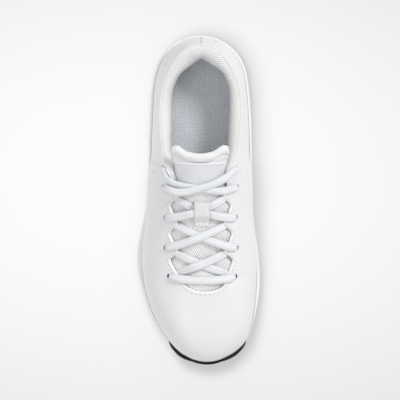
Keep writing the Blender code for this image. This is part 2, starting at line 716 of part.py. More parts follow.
def make_insole():
    s = whole_ring(side_positions()[::2])
    outlines = [feather_outline(s, -(WALL + INSOLE_CLEARANCE + inset)) for inset in (0, 0, 2 * MM, 9 * MM)]
    floor = feather_z(outlines[0][:, 1]) + GAP
    cup = INSOLE_CUP * ease(np.minimum(s, 2 - s), 0.45, 0.75)
    heights = (floor, floor + INSOLE + cup, floor + INSOLE + cup, floor + INSOLE)
    heights = heights[:1] + tuple(h - 0.6 * MM * (k == 1) for k, h in enumerate(heights[1:], 1))
    loops = [with_z(plan, z) for plan, z in zip(outlines, heights)]
    return stacked_object("insole", loops[::-1], "grey_textile")


def midsole_flare(s):
    return FLARE_AT(s)[:, 0] * MM


def make_midsole():
    s = whole_ring(side_positions())
    toe_fade = ease(np.minimum(s, 2 - s), BUMPER_LOW, 1.4 * BUMPER_END)
    flare = midsole_flare(s)
    seat = feather_outline(s, GAP - panel_depth(s))
    top = feather_z(seat[:, 1])
    lip = MIDSOLE_LIP * toe_fade
    controls = ring(s)
    lip_inside = on_profile(controls, np.full(len(s), 0.06))[:, :2] - controls[:, 0, :2]
    bulge = np.linalg.norm(lip_inside, axis=1) + GAP - panel_depth(s)
    lip_inner = feather_outline(s, np.minimum(bulge, flare - 0.25 * MM))
    loops = [with_z(seat, top), with_z(lip_inner, top + lip + 0.01 * MM)]
    loops.append(with_z(feather_outline(s, flare - 0.15 * MM), top + lip))
    for share, setback in MIDSOLE_SIDE:
        outline = feather_outline(s, flare - setback * toe_fade)
        top, bottom = feather_z(outline[:, 1]), plate_z(outline[:, 1]) + PLATE + GAP
        loops.append(with_z(outline, top + share * (bottom - top)))
    return stacked_object("midsole", loops, "white_foam")


def make_outsole():
    """Rubber plate with a bumper round the toe, and moulded studs."""
    s = whole_ring(side_positions())
    u = np.minimum(s, 2 - s)
    rise = 1 - ease(u, BUMPER_FULL, BUMPER_LOW)
    spread = 1 - ease(u, BUMPER_LOW, BUMPER_END)
    flare = midsole_flare(s)
    wall = BUMPER_WALL + np.interp(u, *np.array(BUMPER_SWELL).T) * MM
    outer = (flare + GAP + wall) * spread + (flare - PLATE_SETBACK) * (1 - spread)
    loops = []
    for share, inset, lift, drop in BUMPER_PROFILE:
        plan = feather_outline(s, outer - share * wall - inset)
        plate_top = plate_z(plan[:, 1]) + PLATE
        wall_top = plate_top + rise * (feather_z(plan[:, 1]) + BUMPER_RISE - plate_top)
        loops.append(with_z(plan, plate_top + lift * (wall_top - plate_top) - drop))
    outsole = stacked_object("outsole", loops, "black_rubber")
    boolean(outsole, stud_tool(), "UNION")
    return outsole


def half_widths(y):
    """Lateral and medial reach of the feather line at a place along Y."""
    u = np.linspace(0, 1, 801)
    medial, lateral = ring(u)[:, 0], ring(2 - u)[:, 0]
    return np.interp(y, lateral[:, 1], lateral[:, 0]), np.interp(y, medial[:, 1], medial[:, 0])


def stud_tool():
    """All studs as one mesh: tapered blocks with cut corners and a stepped foot."""
    points, faces = [], []
    corner = 0.36
    outline = np.array([
        (-1, -1 + corner), (-1 + corner, -1), (1 - corner, -1), (1, -1 + corner),
        (1, 1 - corner), (1 - corner, 1), (-1 + corner, 1), (-1, 1 - corner),
    ])
    for values in STUD_ROWS:
        row = dict(zip(STUD_COLUMNS, values))
        y = float(station_y(row["station"]))
        lateral, medial = half_widths(y)
        reach = medial if row["across"] > 0 else -lateral
        centre = np.array([row["across"] * reach, y])
        turn = math.radians(row["turn"])
        spin = np.array([[math.cos(turn), -math.sin(turn)], [math.sin(turn), math.cos(turn)]])
        foot = outline * (row["length"] / 2 * MM, row["width"] / 2 * MM) @ spin.T
        root = float(plate_z([y])[0])
        tip = row["tip_lift"] * MM
        step = tip + STUD_STEP_HEIGHT * (root - tip)
        levels = ((1.0, root + STUD_SINK), (STUD_STEP_SHARE, step), (STUD_TIP_SHARE, tip))
        start = len(points)
        for share, z in levels:
            points += [(*(centre + corner_point * share), z) for corner_point in foot]
        n = len(outline)
        last = start + (len(levels) - 1) * n
        faces += [tuple(start + k for k in face) for face in grid_faces(len(levels), n, close_columns=True)]
        faces += [tuple(start + i for i in range(n)), tuple(last + i for i in range(n))]
    return add_object("stud_tool", points, faces, "black_rubber")


def main():
    for old in list(bpy.data.objects):
        bpy.data.objects.remove(old)
    upper = make_upper()
    make_collar()
    make_tongue()
    make_insole()
    make_midsole()
    make_outsole()
    make_label()
    make_laces()
    make_keeper()
    boolean(upper, eyelet_punches(), "DIFFERENCE")


main()
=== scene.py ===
"""Looks of the softball cleat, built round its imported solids.

Metres, +Z up. One right shoe: the toe points to -Y, the big-toe (medial) side is +X and the studs
stand on z = 0. The upper is a ring of profiles. A loop position s runs round the ring: 0 at the toe
tip, 0 to 1 along the medial side, 1 at the back of the heel, and 1 to 2 back along the lateral side.
A height share t runs up each profile from 0 at the feather line to 1 at the edge of the opening.
"""

import math

import bmesh
import bpy
import numpy as np
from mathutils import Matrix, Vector
from mathutils.bvhtree import BVHTree


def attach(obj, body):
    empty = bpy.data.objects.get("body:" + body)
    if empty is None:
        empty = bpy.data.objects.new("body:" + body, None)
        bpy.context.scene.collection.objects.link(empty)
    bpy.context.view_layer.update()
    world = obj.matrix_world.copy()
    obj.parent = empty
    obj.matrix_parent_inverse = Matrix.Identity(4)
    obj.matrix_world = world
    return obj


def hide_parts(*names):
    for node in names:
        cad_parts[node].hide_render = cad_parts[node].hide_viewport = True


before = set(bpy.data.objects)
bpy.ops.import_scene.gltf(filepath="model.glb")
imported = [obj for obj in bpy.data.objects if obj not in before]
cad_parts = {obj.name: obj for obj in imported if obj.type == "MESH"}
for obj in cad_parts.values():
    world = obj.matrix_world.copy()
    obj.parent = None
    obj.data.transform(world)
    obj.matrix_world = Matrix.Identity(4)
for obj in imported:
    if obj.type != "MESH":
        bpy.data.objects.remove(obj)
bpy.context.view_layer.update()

MM = 0.001

# Driving dimensions, thicknesses and fits of the solids
LENGTH = 276 * MM
BALL_WIDTH = 95.4 * MM
INSTEP_HEIGHT = 96 * MM
HEEL_HEIGHT = 88 * MM
WALL = 2.0 * MM
GAP = 0.35 * MM
PLATE = 3.0 * MM

# Section table of the upper, from the toe tip to the back of the heel. Stations are shares of
# LENGTH from the heel and widths shares of BALL_WIDTH, lateral negative. Edge heights are shares
# of INSTEP_HEIGHT along the throat and of HEEL_HEIGHT round the collar. Lean is the outward tilt
# at the feather and slope the tilt at the edge, in degrees; rise and reach are the pull of each.
# Flare is how far the midsole stands out past the feather line, in millimetres.
SECTION_COLUMNS = (
    "name", "station", "lateral", "medial", "edge_station", "edge_lateral", "edge_medial",
    "edge_height", "lean", "rise", "slope", "reach", "flare_lateral", "flare_medial",
)
THROAT_ROWS = (
    ("toe_tip", 0.991, 0.073, 0.073, 0.776, 0.053, 0.053, 0.667, 5, 0.70, 17, 0.48, 0.6, 0.6),
    ("toe_round", 0.975, -0.103, 0.245, 0.772, -0.034, 0.140, 0.665, 5, 0.70, 17, 0.48, 0.6, 0.6),
    ("toe_side", 0.926, -0.258, 0.408, 0.759, -0.107, 0.212, 0.663, 6, 0.67, 19, 0.47, 0.8, 0.8),
    ("toe_joint", 0.857, -0.382, 0.473, 0.739, -0.149, 0.237, 0.667, 7, 0.62, 22, 0.44, 1.5, 1.8),
    ("ball_front", 0.762, -0.473, 0.502, 0.708, -0.172, 0.234, 0.685, 7, 0.56, 25, 0.41, 2.4, 3.2),
    ("ball_back", 0.675, -0.495, 0.500, 0.656, -0.182, 0.229, 0.737, 8, 0.52, 27, 0.40, 4.2, 2.6),
    ("waist_front", 0.587, -0.464, 0.472, 0.578, -0.189, 0.224, 0.821, 10, 0.48, 30, 0.38, 3.4, 1.9),
    ("waist", 0.500, -0.439, 0.456, 0.500, -0.189, 0.219, 0.909, 11, 0.44, 34, 0.37, 1.7, 1.7),
    ("throat_top", 0.429, -0.428, 0.451, 0.444, -0.222, 0.245, 0.979, 10, 0.40, 42, 0.36, 1.7, 1.7),
)
COLLAR_ROWS = (
    ("collar_corner", 0.384, -0.422, 0.449, 0.409, -0.279, 0.296, 1.09, 8, 0.38, 60, 0.34, 1.7, 1.7),
    ("collar_front", 0.333, -0.418, 0.447, 0.351, -0.327, 0.344, 1.005, 6, 0.36, 75, 0.34, 1.7, 1.7),
    ("ankle", 0.246, -0.409, 0.440, 0.254, -0.350, 0.375, 0.864, 4, 0.36, 82, 0.34, 1.7, 1.7),
    ("heel_side", 0.150, -0.388, 0.417, 0.159, -0.323, 0.354, 0.869, 4, 0.36, 82, 0.34, 1.7, 1.7),
    ("heel_round", 0.069, -0.310, 0.346, 0.085, -0.216, 0.254, 0.943, 5, 0.36, 79, 0.34, 1.7, 1.7),
    ("heel_corner", 0.025, -0.180, 0.210, 0.047, -0.111, 0.147, 0.988, 5, 0.36, 77, 0.34, 1.7, 1.7),
    ("heel_back", 0.006, 0.016, 0.016, 0.034, 0.018, 0.018, 1.0, 5, 0.36, 76, 0.34, 1.6, 1.6),
)

# Side profile of the sole: share of LENGTH from the heel, underside of the outsole plate over the
# floor and midsole thickness, both in millimetres.
SOLE_ROWS = (
    (0.00, 12.4, 11.4),
    (0.08, 10.0, 12.0),
    (0.28, 10.0, 11.4),
    (0.42, 12.2, 8.6),
    (0.55, 10.8, 7.2),
    (0.68, 10.0, 6.2),
    (0.78, 10.2, 6.0),
    (0.90, 13.4, 5.6),
    (1.00, 19.6, 5.2),
)

# Upper: lapped front panel, throat tabs and notches, eyelets, cut and folded edges. A notch peaks at its
# share of the way from one tab to the next. Its flank is the share of its depth half-way to the peak,
# and the swell makes up for what softening takes from it.
PANEL_SECTION = "collar_corner"
PANEL_STEP = 0.6 * MM
PANEL_EDGE = 0.0007
TAB_STATIONS = (0.741, 0.660, 0.574, 0.494, 0.444)
NOTCH_DEPTHS = (7.6 * MM, 7.4 * MM, 7.4 * MM, 2.4 * MM)
NOTCH_PEAKS = (0.85, 0.74, 0.73, 0.70)
NOTCH_START, NOTCH_FLANK = 0.12, 0.56
NOTCH_SOFT = 0.0036
NOTCH_SWELL = 1.12
EYELET_STATIONS = (0.712, 0.639, 0.551, 0.466, 0.412)
EYELET_INSETS = (11.5 * MM, 12.5 * MM, 13.0 * MM, 15.0 * MM, 9.0 * MM)
EYELET_DIAMETER = 4.4 * MM
CUT_BEVEL = 1.1 * MM
CUT_SKIVE = 1.4 * MM
CUT_RADIUS = 0.3 * MM
FOLD_RADIUS = 0.98 * MM
TOE_COLUMNS, THROAT_COLUMNS, COLLAR_COLUMNS = 40, 112, 84
HEEL_COLUMNS = (0.993, 0.9955, 0.997, 0.998, 0.999, 0.9995, 1.0)
OUTER_ROWS, INNER_ROWS = 46, 14

# Small holes of the upper, millimetres: breathing pinholes by place along Y and distance under the
# rim, and unused lace holes in plan
PINHOLES = ((115.1, 28.5), (110.4, 27), (100.2, 25), (89.2, 22.5), (79.1, 19), (68.5, 15.5),
            (59.3, 12))
PINHOLE_DROP_MEDIAL = 4
PINHOLE_DIAMETER = 2.2 * MM
SPARE_HOLES = ((-37.4, 23.2), (40.1, 25.1))
SPARE_DIAMETER = 2.6 * MM

# Creases of the upper: plan ends, half width and depth, all in millimetres
CREASE_COLUMNS = ("name", "start", "end", "width", "depth")
CREASES = (
    ("lateral_corner", (-14, -69), (-36, -66), 4.5, 0.55),
    ("medial_corner", (24, -68), (43, -63), 4.5, 0.45),
    ("lateral_flex", (-47, -58), (-17, -86), 6.5, 0.40),
    ("medial_flex", (51, -60), (27, -86), 6.5, 0.35),
    ("vamp_flex", (-30, -93), (38, -90), 8.0, 0.22),
    ("lateral_quarter", (-43, 18), (-37, 52), 5.0, 0.45),
    ("medial_quarter", (45, 20), (40, 54), 5.0, 0.40),
    ("lateral_waist", (-42, -14), (-36, -2), 5.0, 0.30),
    ("medial_waist", (44, -12), (38, 0), 5.0, 0.30),
)
CREASE_FADE_IN, CREASE_FADE_OUT = (-0.1, 0.35), (0.65, 1.1)
EYELET_DIMPLE = 0.35 * MM
EYELET_DIMPLE_WIDTH = 4.5 * MM

# Seam at the back of the heel: length of the ring's last stretch, depth and width of the groove, width
# of its grey painted shade, and the lap of the medial side
HEEL_ROUND = 18 * MM
HEEL_SEAM = 0.9 * MM
HEEL_SEAM_WIDTH = 0.6 * MM
HEEL_SEAM_SHADE_WIDTH = 0.45 * MM
HEEL_LAP = 0.5 * MM
HEEL_LAP_START, HEEL_LAP_REACH = 0.95, 0.0012

# Padded collar: loop position with lateral and medial thickness in millimetres, then the front of the
# roll as height share and share of the thickness
PAD_ROWS = (
    (0.564, 1.0, 1.0), (0.584, 5.8, 6.4), (0.606, 8.6, 9.6), (0.640, 8.4, 9.4), (0.690, 9.4, 9.6),
    (0.760, 9.5, 8.9), (0.820, 9.2, 7.9), (0.855, 10.8, 9.0), (0.890, 13.2, 11.7), (0.930, 14.3, 13.2),
    (0.970, 13.7, 13.2), (1.000, 12.4, 12.4),
)
COLLAR_LOW = 0.333
COLLAR_FRONT = (
    (0.984, -0.06), (1.002, 0.06), (1.001, 0.26), (0.978, 0.56), (0.91, 0.87), (0.80, 1.0), (0.66, 0.95),
    (0.50, 0.55), (0.335, 0.08),
)
PAD_DIP_STATION = 0.105
PAD_DIP = 0.10
PAD_DIP_WIDTH = 0.028
LINING_STAND = 0.5 * MM

# Insole, midsole and outsole. Insole loops: inset, rise and share of the heel cup. Side of the midsole:
# share of its height and setback in millimetres. Bumper: share of its wall, inset, share of its rise, drop.
INSOLE = 4.2 * MM
INSOLE_CUP = 3.0 * MM
INSOLE_CLEARANCE = 1.2 * MM
INSOLE_LOOPS = (
    (0, 0, 0),
    (0, INSOLE - 1.4 * MM, 0.9),
    (0.25 * MM, INSOLE - 0.5 * MM, 1),
    (0.9 * MM, INSOLE, 1),
    (2.0 * MM, INSOLE, 0.96),
    (4 * MM, INSOLE, 0.7),
    (6.5 * MM, INSOLE, 0.3),
    (9 * MM, INSOLE, 0.05),
    (13 * MM, INSOLE, 0),
)
MIDSOLE_LIP = 2.6 * MM
MIDSOLE_SIDE = (
    (0.0, 0.0), (0.10, -0.05), (0.30, 0.2), (0.36, 0.7), (0.42, 1.4), (0.49, 1.6), (0.56, 1.4),
    (0.62, 0.7), (0.68, 0.3), (0.84, 0.7), (0.95, 1.4), (1.0, 1.9),
)
BUMPER_RISE = 3.6 * MM
BUMPER_WALL = 1.5 * MM
BUMPER_FULL, BUMPER_LOW, BUMPER_END = 0.05, 0.100, 0.148
BUMPER_SWELL = ((0, 0), (0.023, 0), (0.036, -0.25), (0.055, 0.6), (0.075, 1.3), (0.095, 0.8), (0.120, 0))
BUMPER_PROFILE = (
    (1, 0.2 * MM, 0, 0),
    (1, 0, 1, 0.3 * MM),
    (0.8, 0, 1, 0.05 * MM),
    (0.35, 0, 1, 0),
    (0.1, 0, 1, 0.25 * MM),
    (0, 0, 1, 0.7 * MM),
    (0, 0, 0, PLATE - 0.9 * MM),
    (0, 0.25 * MM, 0, PLATE - 0.25 * MM),
    (0, 0.9 * MM, 0, PLATE),
)
PLATE_SETBACK = 2.6 * MM
STUD_TIP_SHARE = 0.62
STUD_STEP_HEIGHT = 0.72
STUD_SINK = 1.2 * MM
STUD_COLUMNS = ("name", "station", "across", "turn", "length", "width", "tip_lift")
STUD_ROWS = (
    ("toe", 0.935, 0.06, 0, 24, 9, 4.5),
    ("toe_lateral", 0.855, -0.62, 28, 19, 11, 0.6),
    ("toe_medial", 0.865, 0.66, -24, 19, 11, 0.6),
    ("ball_lateral", 0.755, -0.74, 80, 22, 11, 0),
    ("ball_medial", 0.765, 0.74, -82, 22, 11, 0),
    ("ball_centre", 0.790, 0.02, 0, 20, 10, 0),
    ("back_lateral", 0.645, -0.74, 96, 22, 11, 0),
    ("back_medial", 0.655, 0.74, -98, 22, 11, 0),
    ("heel_front_lateral", 0.235, -0.66, 92, 22, 11, 0),
    ("heel_front_medial", 0.235, 0.66, -92, 22, 11, 0),
    ("heel_back_lateral", 0.085, -0.56, 62, 20, 11, 0),
    ("heel_back_medial", 0.085, 0.56, -62, 20, 11, 0),
)

# Tongue, label and lace keeper. Throat rows: station and half width. Seat rows: run from the nearest
# throat row and half width. Toe and top rows: run, rise, half width and share of the crown. Horn: share
# of the half width and how far the free top stands up there. All in millimetres. The label's rows are
# counted from the free top, and its bare columns from each side.
TONGUE_DEPTH = 5.0 * MM
TONGUE_THICKNESS = 3.4 * MM
TONGUE_THROAT_ROWS = (
    (0.705, 30), (0.664, 33), (0.622, 34), (0.580, 34), (0.539, 34), (0.497, 32), (0.456, 26.4),
)
TONGUE_SEAT_ROWS = ((-39, 13), (-32, 15))
TONGUE_TOE_ROWS = ((-21, -3.8, 20, 1.0), (-11, -2.0, 27, 1.0))
TONGUE_TOP_ROWS = (
    (7, 5.0, 23.4, 0.92),
    (14, 9.8, 24.6, 0.8),
    (19.5, 13.8, 25.9, 0.72),
    (23, 16.1, 26, 0.68),
)
TONGUE_SEAT = 2.9 * MM
TONGUE_COLUMNS = 13
TONGUE_RIM = 0.05
TONGUE_SWELL = 1.9 * MM
TONGUE_TOE_SWELL = ((-79, 0), (-76, 0.3), (-71, 0.9), (-64, 1), (-58, 0.3), (-52, 0))
TONGUE_INSET = 0.13
TONGUE_HORN = ((0, 0), (0.25, 0.5), (0.5, 2.2), (0.68, 5.6), (0.82, 7.4), (0.94, 7.0), (1, 5.2))
TONGUE_BEND_ROW = 10
TONGUE_SIDE_RADIUS, TONGUE_TOP_RADIUS = 1.8 * MM, 3.2 * MM
TONGUE_BAND = 8.0 * MM
BAND_RISE, BAND_FALL = 1.3 * MM, 0.9 * MM
CHANNEL_DEPTH, CHANNEL_WIDTH, CHANNEL_OFFSET = 0.9 * MM, 0.8 * MM, 0.6 * MM
LABEL_ROWS = (-5, -3)
LABEL_BARE = 1
LABEL_OVER_ROWS, LABEL_OVER_COLUMNS = 0.35, 0.6
LABEL_THICKNESS = 0.8 * MM
LABEL_EDGE, LABEL_EDGE_STEP = 0.8 * MM, 0.4 * MM
LABEL_RIPPLE = 0.12 * MM
KEEPER_X = (-3.9 * MM, 8.9 * MM)
KEEPER_Y = (-21.4 * MM, -1.0 * MM)
KEEPER_THICKNESS = 1.2 * MM
KEEPER_ARCH = 7.0 * MM
KEEPER_CLIMB, KEEPER_FALL = (0.07, 0.42), (0.90, 1.0)
KEEPER_SIT = 0.2 * MM
KEEPER_SLUMP = 0.25
KEEPER_EDGE = 0.6 * MM

# Lace: an oval cord. Each crossing has a strand on top and one below it. A strand runs from a point
# tucked under a tab, or from a top eyelet, to the eyelet of its row on the other side. Plan points in
# millimetres, with the sag of a strand towards the toe.
LACE_WIDTH = 7.0 * MM
LACE_THICKNESS = 3.1 * MM
LACE_CROSSINGS = (
    # row of the eyelets, top strand's start, under strand's start, sag
    (0, (20.1, -45.0), (-16.4, -45.0), 2),
    (1, (21.0, -21.2), (-18.2, -21.2), 4),
    (2, (19.8, 0.4), (-16.4, -0.6), 7),
)
LACE_TOP_PATH = ((16.5, 14.7), (4.1, 10.1), (-8.4, 6.8), (-17.4, 6.1))
LACE_UNDER_PATH = ((-24.8, 15.9), (-18.7, 12.8), (-6.5, 10.1), (9.9, 7.7), (22.4, 7.7))
LACE_BAR_SAG = 6
LACE_FIRST_REACH = {"lateral": 0.70, "medial": 0.76}
LACE_REST = 0.15 * MM
LACE_CLEAR = 1.0 * MM
LACE_HUG = 1.2 * MM
LACE_HOLE_DEPTHS = (-0.6 * MM, 0.9 * MM, 2.4 * MM, 3.7 * MM)
LACE_NARROW = 0.65
LACE_STEP = 0.9 * MM
LACE_SIDES = 18
LACE_LAY = 6.5

# Stitches: pitch, length, thread radius and how deep they sink, then the lift and girth along one
# stitch in thread radii
THROAT_STITCH = (3.8 * MM, 2.5 * MM, 0.42 * MM, 0.1 * MM)
LABEL_STITCH = (2.2 * MM, 1.5 * MM, 0.3 * MM, 0)
KEEPER_STITCH = (2.7 * MM, 1.9 * MM, 0.42 * MM, 0)
STITCH_LIFT = (-0.7, 0.25, 0.45, 0.25, -0.7)
STITCH_GIRTH = (0.45, 0.95, 1.0, 0.95, 0.45)
STITCH_SIDES = 8
THROAT_STITCH_INSET = 2.6 * MM
KEEPER_STITCH_ROWS = (0.8 * MM, 2.2 * MM)
KEEPER_STITCH_MARGIN = 1.0 * MM

# Stage. The floor's glow fades with the distance along Y. The camera looks straight down and sees
# VIEW_WIDTH at VIEW_LEVEL over the floor.
FLOOR_REACH = 8.0
FADE_REACH = 0.2
FLOOR_GLOW, FLOOR_GLOW_FAR = 0.53, 0.445
ROOM_LIGHT = 0.62
LIGHTS = (
    # name, place, target, size, power, what it lights
    ("floor_light", (-0.07, 0.07, 0.64), (0, 0, 0), (0.2, 0.2), 6.1, "ground"),
    ("top_light", (0.90, 0.72, 1.45), (0, 0.03, 0.05), (0.45, 0.45), 14.2, "shoe"),
    ("sky_light", (-0.15, 0.10, 1.4), (0, 0.03, 0.05), (0.5, 0.5), 1.9, "shoe"),
    ("front_light", (-0.65, -0.80, 1.1), (0, 0, 0.05), (0.6, 0.6), 2.2, "shoe"),
    ("side_light", (1.5, 0.0, 0.6), (0, 0, 0.05), (1.4, 0.8), 0.4, "shoe"),
)
CAMERA_X, CAMERA_HEIGHT = 0.001, 2.6
VIEW_WIDTH, VIEW_LEVEL = 0.334, 0.04
SENSOR = 36


# Curves
def spline(knots, values, period=None):
    """A smooth curve through values at knots: closed with that period, or with straight ends."""
    x = np.asarray(knots, float)
    v = np.asarray(values, float).reshape(len(x), -1)
    if period:
        x = np.append(x, x[0] + period)
        v = np.vstack([v, v[:1]])
    n = len(x)
    h = np.diff(x)
    slope = np.diff(v, axis=0) / h[:, None]
    a = np.zeros((n, n))
    b = np.zeros_like(v)
    for i in range(1, n - 1):
        a[i, i - 1:i + 2] = h[i - 1], 2 * (h[i - 1] + h[i]), h[i]
        b[i] = 6 * (slope[i] - slope[i - 1])
    if period:
        a[0, 0], a[0, -1] = 1, -1
        a[-1, [0, 1, -2, -1]] = 2 * h[0], h[0], h[-1], 2 * h[-1]
        b[-1] = 6 * (slope[0] - slope[-1])
    else:
        a[0, 0] = a[-1, -1] = 1
    bend = np.linalg.solve(a, b)

    def at(where):
        w = np.atleast_1d(np.asarray(where, float))
        if period:
            w = (w - x[0]) % period + x[0]
        i = np.clip(np.searchsorted(x, w, side="right") - 1, 0, n - 2)
        left, right, step = (w - x[i])[:, None], (x[i + 1] - w)[:, None], h[i][:, None]
        return (
            (bend[i] * right**3 + bend[i + 1] * left**3) / (6 * step)
            + (v[i] / step - bend[i] * step / 6) * right
            + (v[i + 1] / step - bend[i + 1] * step / 6) * left
        )

    return at


def ease(x, low, high):
    """0 below low, 1 above high, with a smooth step between."""
    share = np.clip((np.asarray(x, float) - low) / (high - low), 0, 1)
    return share * share * (3 - 2 * share)


def unit(v):
    """The same vectors at length 1."""
    return v / np.linalg.norm(v, axis=-1, keepdims=True)


def hump(distance, width):
    """1 at no distance, falling smoothly away."""
    return np.exp(-((distance / width) ** 2))


def look_up(x, rows):
    """Values of a two-column table at x, straight between its rows."""
    return np.interp(x, *np.transpose(rows))


def run_of(points):
    """Distance along a line of points."""
    return np.concatenate([[0], np.cumsum(np.linalg.norm(np.diff(points, axis=0), axis=1))])


def points_at(wanted, run, points):
    """Points of a line at the wanted distances along it."""
    return np.column_stack([np.interp(wanted, run, column) for column in np.transpose(points)])


def soften(values, sigma):
    """The same values smoothed along their first axis, with the ends kept."""
    reach = int(3 * sigma) + 1
    weights = np.exp(-0.5 * (np.arange(-reach, reach + 1) / sigma) ** 2)
    weights /= weights.sum()
    values = np.asarray(values, float)
    flat = values.reshape(len(values), -1)
    before = 2 * flat[0] - flat[reach:0:-1]
    after = 2 * flat[-1] - flat[-2:-reach - 2:-1]
    padded = np.vstack([before, flat, after])
    out = np.column_stack([np.convolve(column, weights, "valid") for column in padded.T])
    return out.reshape(values.shape)


# The last: control points of every section's profile, then a smooth ring through them
def station_y(station):
    """Place along Y of a share of the length from the heel."""
    return (0.5 - np.asarray(station, float)) * LENGTH


SOLE_AT = spline([row[0] for row in SOLE_ROWS], [row[1:] for row in SOLE_ROWS])


def plate_z(y):
    """Underside of the outsole's plate."""
    return SOLE_AT(0.5 - np.asarray(y) / LENGTH)[:, 0] * MM


def feather_z(y):
    """Top of the midsole, where the upper and the insole sit."""
    thickness = SOLE_AT(0.5 - np.asarray(y) / LENGTH)[:, 1] * MM
    return plate_z(y) + PLATE + GAP + thickness


def read_sections():
    """The section table by column name, with the height of each edge."""
    rows = []
    for group, height in ((THROAT_ROWS, INSTEP_HEIGHT), (COLLAR_ROWS, HEEL_HEIGHT)):
        for values in group:
            row = dict(zip(SECTION_COLUMNS, values))
            row["edge_z"] = row["edge_height"] * height
            rows.append(row)
    return rows


def profile_controls(row, side):
    """Four control points of one section's profile, from the feather to the edge."""
    y, edge_y = station_y(row["station"]), station_y(row["edge_station"])
    foot = np.array([row[side] * BALL_WIDTH, y, feather_z([y])[0] + GAP])
    edge = np.array([row["edge_" + side] * BALL_WIDTH, edge_y, row["edge_z"]])
    inward = unit(np.append((edge - foot)[:2], 0))
    up = np.array([0, 0, 1])
    lean, slope = math.radians(row["lean"]), math.radians(row["slope"])
    rise = row["rise"] * (edge[2] - foot[2])
    reach = row["reach"] * np.linalg.norm(edge - foot)
    lower = foot + rise * (math.cos(lean) * up - math.sin(lean) * inward)
    higher = edge - reach * (math.cos(slope) * inward + math.sin(slope) * up)
    return np.concatenate([foot, lower, higher, edge])


SECTIONS = read_sections()
MEDIAL = np.array([profile_controls(row, "medial") for row in SECTIONS])
LATERAL = np.array([profile_controls(row, "lateral") for row in SECTIONS])
CHORDS = [
    sum(np.linalg.norm(side[i + 1, :2] - side[i, :2]) for side in (MEDIAL, LATERAL))
    for i in range(len(SECTIONS) - 1)
]
SECTION_U = np.concatenate([[0], np.cumsum(CHORDS)]) / sum(CHORDS)
RING_S = np.concatenate([SECTION_U, 2 - SECTION_U[-2:0:-1]])
CONTROLS_AT = spline(RING_S, np.vstack([MEDIAL, LATERAL[-2:0:-1]]), period=2)
FLARES = [row["flare_medial"] for row in SECTIONS] + [row["flare_lateral"] for row in SECTIONS[-2:0:-1]]
FLARE_AT = spline(RING_S, FLARES, period=2)
PANEL_U = SECTION_U[[row["name"] for row in SECTIONS].index(PANEL_SECTION)]


def side_share(s):
    """Share of the way from toe to heel, on either side."""
    return np.minimum(s, 2 - np.asarray(s))


def ring(s):
    """Control points of the profiles at loop positions s, shape (n, 4, 3)."""
    controls = CONTROLS_AT(s).reshape(-1, 4, 3)
    controls[:, 0, 2] = feather_z(controls[:, 0, 1]) + GAP
    return controls


def on_profile(controls, t):
    """Points at height shares t of the same number of profiles."""
    t = np.asarray(t, float)[:, None]
    weights = ((1 - t) ** 3, 3 * t * (1 - t) ** 2, 3 * t**2 * (1 - t), t**3)
    return sum(w * controls[:, k] for k, w in enumerate(weights))


def skin_frame(s, t):
    """Points and outward normals of the upper's outer face at loop positions s and height shares t."""
    s, t = (a.ravel() for a in np.broadcast_arrays(np.asarray(s, float), np.asarray(t, float)))
    step = 1e-4
    here = ring(s)
    point = on_profile(here, t)
    along = on_profile(ring(s + step), t) - on_profile(ring(s - step), t)
    up = on_profile(here, t + step) - on_profile(here, t - step)
    return point, unit(np.cross(along, up))


def skin(s, t, depth=0.0):
    """Points of the upper's outer face, moved inwards."""
    point, normal = skin_frame(s, t)
    return point - normal * np.reshape(depth, (-1, 1))


def edge_u(station):
    """Medial loop position whose throat edge lies at that station."""
    u = np.linspace(0, 1, 2001)
    return np.interp(station_y(station), ring(u)[:, 3, 1], u)


def feather_outline(s, offset):
    """Plan points beside the feather line, moved outwards by offset."""
    s = np.asarray(s, float)
    step = 1e-4
    point = ring(s)[:, 0, :2]
    along = ring(s + step)[:, 0, :2] - ring(s - step)[:, 0, :2]
    outward = unit(np.stack([along[:, 1], -along[:, 0]], axis=1))
    return point + outward * np.reshape(offset, (-1, 1))


def with_z(plan, z):
    """Plan points with their heights."""
    return np.column_stack([plan, np.broadcast_to(z, len(plan))])


def edge_t(s, distance):
    """Height share at a distance down the face from the edge."""
    controls = ring(s)
    speed = 3 * np.linalg.norm(controls[:, 3] - controls[:, 2], axis=1)
    return 1 - distance / speed


def whole_ring(u):
    """The same positions on both sides, as one loop."""
    return np.concatenate([u, 2 - u[-2:0:-1]])


def both_sides(u):
    """Medial positions, then the same lateral ones."""
    return np.concatenate([u, 2 - u])


def named_rows(columns, table):
    """Rows of a table by column name."""
    return [dict(zip(columns, values)) for values in table]


TAB_U = edge_u(TAB_STATIONS)
NOTCH_U = np.linspace(0, 1, 4001)


def notch_corners():
    """Loop positions of each notch's corners: its start, flank, peak and end at the next tab."""
    for low, high, peak in zip(TAB_STATIONS[:-1], TAB_STATIONS[1:], NOTCH_PEAKS):
        shares = np.array((NOTCH_START, (NOTCH_START + peak) / 2, peak, 1))
        yield edge_u(low + shares * (high - low))


def notch_curve():
    """How far the throat edge is cut back between its tabs, with soft corners, at NOTCH_U."""
    depth = np.zeros(len(NOTCH_U))
    for corners, full in zip(notch_corners(), NOTCH_DEPTHS):
        shape = np.interp(NOTCH_U, corners, (0, NOTCH_FLANK, 1, 0))
        depth = np.maximum(depth, shape * full * NOTCH_SWELL)
    return soften(depth, NOTCH_SOFT * (len(NOTCH_U) - 1))


NOTCHES = notch_curve()


def notch_depth(s):
    """How far the throat edge is cut back at loop positions s."""
    return np.interp(side_share(s), NOTCH_U, NOTCHES)


def eyelet_places():
    """Loop position and height share of each eyelet, medial then lateral."""
    s = both_sides(edge_u(EYELET_STATIONS))
    return s, edge_t(s, np.tile(EYELET_INSETS, 2))


